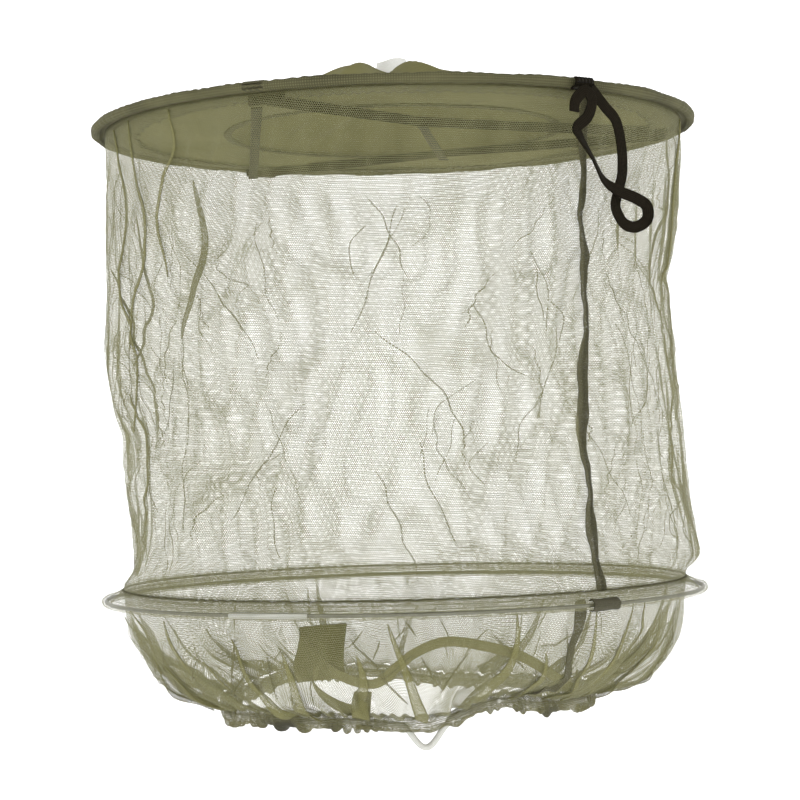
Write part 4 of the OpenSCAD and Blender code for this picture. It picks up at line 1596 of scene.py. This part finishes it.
    def build_skirt(self) -> None:
        """The skirt: netting as wide as the hoop above, drawn in to the neck."""
        s = self.sizes
        h = np.linspace(0, 2 * math.pi, 1000, endpoint=False)[:, None]
        t = np.linspace(0.0, 1.0, 46)[None, :]
        heading, share = h + 0 * t, t + 0 * h
        points = self.skirt_points(heading, share)
        rng = np.random.default_rng(12)
        # painted shade: the gathering value darkens the thread in soft bunches; it also makes the netting
        # denser and darker towards the neck and just under the casing, where it is drawn together
        bunched_shade = np.clip(ripple(rng, heading, share * 0.08, (6, 18), (5, 30), 10) - 0.2, 0, 1)
        gather_and_shade = 0.05 * share + 0.2 * bunched_shade * ease((share - 0.2) / 0.6) + 0.2 * ease((share - 0.9) / 0.1)
        gather_and_shade = gather_and_shade + 0.3 * (1 - ease(share / 0.03))
        skirt = grid_mesh("skirt_netting", points, np.append(h, 2 * math.pi) * s.net_r,
                          84 * MM * t.ravel(), (True, False), gather_and_shade=gather_and_shade)
        thicken(skirt, 0.26 * MM)
        dress(skirt, VEIL_NET.material())
        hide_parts("skirt_net")
        n = 70
        down = np.linspace(0.02, 0.97, n)
        line = self.skirt_points(np.full(n, 0.01) + 0.01 * np.sin(down * 14), down, 0.9 * MM)
        folds = self.skirt_folds()
        seam = tape_mesh("skirt_side_seam", line, (5.5 + 1.2 * np.sin(down * 19)) * MM, 0.7 * MM,
                         Facing.OUT, 0.3 * np.sin(down * 12), 0.3 * MM)
        dress(seam, SEAM_NET.material())
        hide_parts("skirt_seam")
        for piece in (skirt, seam, *folds):
            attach(piece, "lower_hoop")
            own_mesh(piece)
            LOG.info("%s: %d faces", piece.name, len(piece.data.polygons))

    def skirt_folds(self) -> list[bpy.types.Object]:
        """Doubled folds that fan up from the hem to points, and fine creases between them.

        Returns:
            The doubled folds and the fine creases.
        """
        steps = 22
        share = np.linspace(0, 1, steps)[None, :]
        start = np.array([-108, -96, -84, -77, -66, -58, -45, -31, -14, -2, 8, 17, 26, 33, 44, 57, 75, 98,
                          122, 150, 172, -165, -140, -124], float)
        rng = np.random.default_rng(19)
        n = len(start)
        lean = -0.22 * (start + 30) / 6 * rng.uniform(0.5, 1.5, n) + rng.normal(0, 3, n)
        sway = 1.5 * np.sin(4 * share + start[:, None])
        heading = np.radians(start[:, None] + lean[:, None] * share + sway)
        top = rng.uniform(0.04, 0.5, n)[:, None]
        t = 0.99 - (0.99 - top) * share
        # painted shade: the spears are darker along their edges, through the gathering value
        spears = strips_mesh("skirt_doubled_folds", self.skirt_points(heading, t, 0.8 * MM),
                             rng.uniform(4, 11, n) * MM, np.full(n, 0.5 * MM), 0.4, 0.04, spear=True)
        m = 90
        head = rng.uniform(-math.pi, math.pi, m)[:, None] + rng.normal(0, 0.09, m)[:, None] * share
        low = rng.uniform(0.45, 0.99, m)[:, None]
        t = low - rng.uniform(0.15, 0.42, m)[:, None] * share
        # painted shade: the fine creases are darkened all over, through the gathering value
        fine = strips_mesh("skirt_fine_creases", self.skirt_points(head, np.clip(t, 0.02, 1), 0.4 * MM),
                           rng.uniform(0.5, 1.3, m) * MM, np.full(m, 0.3 * MM), 0.35, 0.4)
        for piece, finish, wall in ((spears, FOLD_NET, 0.5), (fine, CREASE_NET, 0.25)):
            thicken(piece, wall * MM)
            dress(piece, finish.material())
        return [spears, fine]

    def build_metal(self) -> None:
        """Dress both hoops' wires and sleeves, which keep their CAD shapes."""
        steel, sleeve = SPRING_STEEL.material(), SLEEVE_METAL.material()
        for level in ("upper", "lower"):
            dress(bpy.data.objects[f"{level}_hoop_wire"], steel)
            dress(bpy.data.objects[f"{level}_hoop_sleeve"], sleeve)

    def build(self) -> None:
        """Build every piece between the lower hoop and the neck."""
        self.build_metal()
        self.build_casing()
        self.build_skirt()


# ---------------------------------------------------------------- neck


@dataclass
class Neck:
    """The gathered neck hem, its elastic, the back patch and the two arm loops."""

    sizes: Layout
    tape_w: float = 6 * MM
    tape_t: float = 1.2 * MM
    bight: tuple[float, float, float] = (-28.0, 8.0, 13 * MM)  # heading, half its span, drop
    tab_headings: tuple[float, float] = (-47.0, 46.0)

    def build_hem(self) -> None:
        """The hem: a soft box of netting round the elastic, drawn into close uneven pleats."""
        s = self.sizes
        h = np.linspace(0, 2 * math.pi, 1300, endpoint=False)[:, None]
        turn = np.linspace(0, 2 * math.pi, 22, endpoint=False)[None, :]
        wide = np.sign(np.cos(turn)) * np.abs(np.cos(turn)) ** 0.7 * s.hem_w / 2
        high = np.sign(np.sin(turn)) * np.abs(np.sin(turn)) ** 0.7 * s.hem_h / 2
        pleat = np.cos(86 * h + 6 * np.sin(8 * h) + 0.8 * np.sin(turn))
        surge = np.cos(23 * h + 3 * np.sin(5 * h) + turn)
        grow = 0.72 + 0.16 * pleat * surge + 0.12 * surge
        r = s.hem_r + wide * grow * 0.8 + 0.8 * MM * np.sin(17 * h)
        dip = 0.7 * MM * pleat * np.clip(-np.sin(turn), 0, 1)
        z = s.hem_z + high * grow + LowerHoop.neck_rise(h) - dip
        points = around(r, h + 0.008 * np.sin(2 * turn) * pleat, z)
        # painted shade: dark bunches at two headings, laid on the hem's underside and sides and not on
        # its top
        left = np.exp(-(((h - math.radians(293)) / 0.30) ** 2))
        right = np.exp(-(((h - math.radians(24)) / 0.30) ** 2))
        bunched_shade = np.clip(0.25 + 0.5 * np.cos(19 * h + 2 * np.sin(7 * h)), 0, 1)
        bunched_shade = bunched_shade * (0.2 + 1.8 * left + 1.8 * right)
        under = np.clip(0.6 - np.sin(turn), 0, 1)
        gather_and_shade = np.clip(0.02 + 0.08 * np.abs(pleat) + 0.7 * bunched_shade * under, 0, 0.95)
        girth = np.append(turn, 2 * math.pi) / (2 * math.pi) * 36 * MM
        hem = grid_mesh("neck_hem_gathers", points, np.append(h, 2 * math.pi) * s.net_r, girth,
                        (True, True), gather_and_shade=gather_and_shade)
        thicken(hem, 0.25 * MM)
        place(hem, HEM_NET.material(), "neck_hem", "neck_hem")

    def build_elastic(self) -> None:
        """The elastic: a braided ring that drops out of the hem in one bight."""
        s = self.sizes
        middle, half, drop = self.bight
        a = np.linspace(-180, 180, 720, endpoint=False)
        near = np.abs(a) < half
        sag = np.where(near, drop * np.cos(np.radians(90 * a / half)) ** 2, 0.0)
        h = np.radians(a + middle)
        path = around(s.hem_r + 0.4 * MM * np.sin(33 * h), h,
                      s.hem_z - sag + LowerHoop.neck_rise(h) * (sag < 1 * MM))
        ring = tube_mesh("neck_elastic_braid", path, 1.7 * MM, 10, closed=True)
        place(ring, WHITE_ELASTIC.material(), "neck_hem", "neck_elastic")

    def build_patch(self) -> None:
        """The back patch: doubled cloth inside the hem, bowed and creased where the loops pull."""
        s = self.sizes
        h = np.radians(180 + np.linspace(-10, 10, 40))[:, None]
        v = np.linspace(0, 1, 44)[None, :]
        z = s.hem_z - s.hem_h / 2 + (9 + v * 34) * MM
        bow = 1.2 * MM * np.sin(2 * math.pi * v) * np.sin((h - math.pi) * 9) - 1.6 * MM * v**2
        r = s.hem_r - s.hem_w / 2 - 0.65 * MM + bow
        patch = grid_mesh("anchor_patch_cloth", around(r, h + 0.012 * np.sin(5 * v), z),
                          35 * MM * np.linspace(0, 1, 40), 34 * MM * v.ravel())
        thicken(patch, 1.2 * MM)
        place(patch, PATCH_CLOTH.material(), "neck_hem", "anchor_patch")

    def build_tabs(self) -> None:
        """The front tabs: two bar-tacked scraps of tape inside the hem."""
        s = self.sizes
        tabs, threads = [], []
        for heading in self.tab_headings:
            v = np.linspace(0, 1, 20)
            a = math.radians(heading)
            r = s.hem_r - s.hem_w / 2 - 0.65 * MM - 0.5 * MM * np.sin(3 * v)
            path = around(r, a, s.hem_z - 4 * MM + 20 * MM * v)
            out = np.append(plan(1.0, a), 0.0)
            side = np.array([math.cos(a), math.sin(a), 0.0])
            width = 9 * MM * (1 - 0.15 * np.sin(4 * v))
            turn = np.linspace(0, 2 * math.pi, 16, endpoint=False)
            wide = np.sign(np.cos(turn)) * np.abs(np.cos(turn)) ** 0.5
            points = (path[:, None] + side * (wide[None, :, None] * width[:, None, None] / 2)
                      + out * (np.sin(turn) * 0.6 * MM)[None, :, None])
            tabs.append(grid_mesh("tab", points[:, ::-1], 20 * MM * v, np.linspace(0, 20 * MM, 17),
                                  (False, True), capped=True))
            rows = np.linspace(0, 1, 12)
            base = path[0] + np.array([0, 0, 3 * MM]) - out * 0.9 * MM
            one = base - side * 3.5 * MM + np.array([0, 0, 1.0]) * (rows * 12 * MM)[:, None]
            two = base + side * 3.5 * MM + np.array([0, 0, 1.0]) * (rows * 12 * MM)[:, None]
            threads.append(zigzag(one, two, 16, 0.3 * MM, "tack"))
        place(joined(tabs, "arm_loop_front_tabs"), OLIVE_TAPE.material(), "neck_hem", "arm_loop_tabs")
        place(joined(threads, "arm_loop_tab_tacks"), BLACK_TACK.material(), "neck_hem")

    def build_loops(self) -> None:
        """The arm loops: tapes on edge from the back patch to the front tabs."""
        s = self.sizes
        rise = s.hem_z + 8 * MM
        end_r = s.hem_r - s.hem_w / 2 - 1.3 * MM - 3 * MM
        routes = {
            "left": (182.5, -47.0, 1.0, [(0, 0, 2), (0.15, 7, 0), (0.37, 9.5, -3), (0.59, 8, -5),
                                         (0.81, 5, -5), (1, 0, -3)]),
            "right": (177.5, 46.0, -1.0, [(0, 0, 2), (0.06, 1.4, -3), (0.13, 2.5, -6), (0.21, 2.3, -5),
                                          (0.3, 2.1, 6), (0.37, 2.7, 14), (0.49, 3, 21), (0.63, 3, 20),
                                          (0.79, 2.6, 15), (0.91, 2, 6), (1, 0, -2)]),
        }
        for name, (start, end, out, route) in routes.items():
            a, b = plan(end_r, math.radians(start)), plan(end_r, math.radians(end))
            run = b - a
            side = unit(np.array([run[1], -run[0]])) * out
            p = np.array(route, float)
            q = a + run * p[:, :1] + side * p[:, 1:2] * MM
            path = smooth_path(np.column_stack([q, rise + p[:, 2] * MM]), 10)
            t = np.linspace(0, 1, len(path))
            band = tape_mesh(f"arm_loop_{name}_tape", path, self.tape_w, self.tape_t, Facing.SIDE,
                             0.35 * np.sin(math.pi * t) * np.sin(5 * t))
            place(band, OLIVE_TAPE.material(), f"arm_loop_{name}", f"arm_loop_{name}")

    def build(self) -> None:
        """Build every piece of the neck."""
        self.build_hem()
        self.build_elastic()
        self.build_patch()
        self.build_tabs()
        self.build_loops()


def main() -> None:
    """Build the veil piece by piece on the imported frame."""
    logging.basicConfig(level=logging.INFO, format="%(name)s: %(message)s")
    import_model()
    scene = bpy.context.scene
    scene.view_settings.view_transform = "Standard"
    scene.cycles.transparent_max_bounces = 40
    sizes = Layout.from_frame()
    studio = Studio()
    studio.camera()
    studio.lights()
    studio.floor(-0.62)
    Veil(sizes).build()
    Crown(sizes).build()
    Harness(sizes).build()
    StorageLoop(sizes).build()
    LowerHoop(sizes).build()
    Neck(sizes).build()


if __name__ == "__main__":
    main()
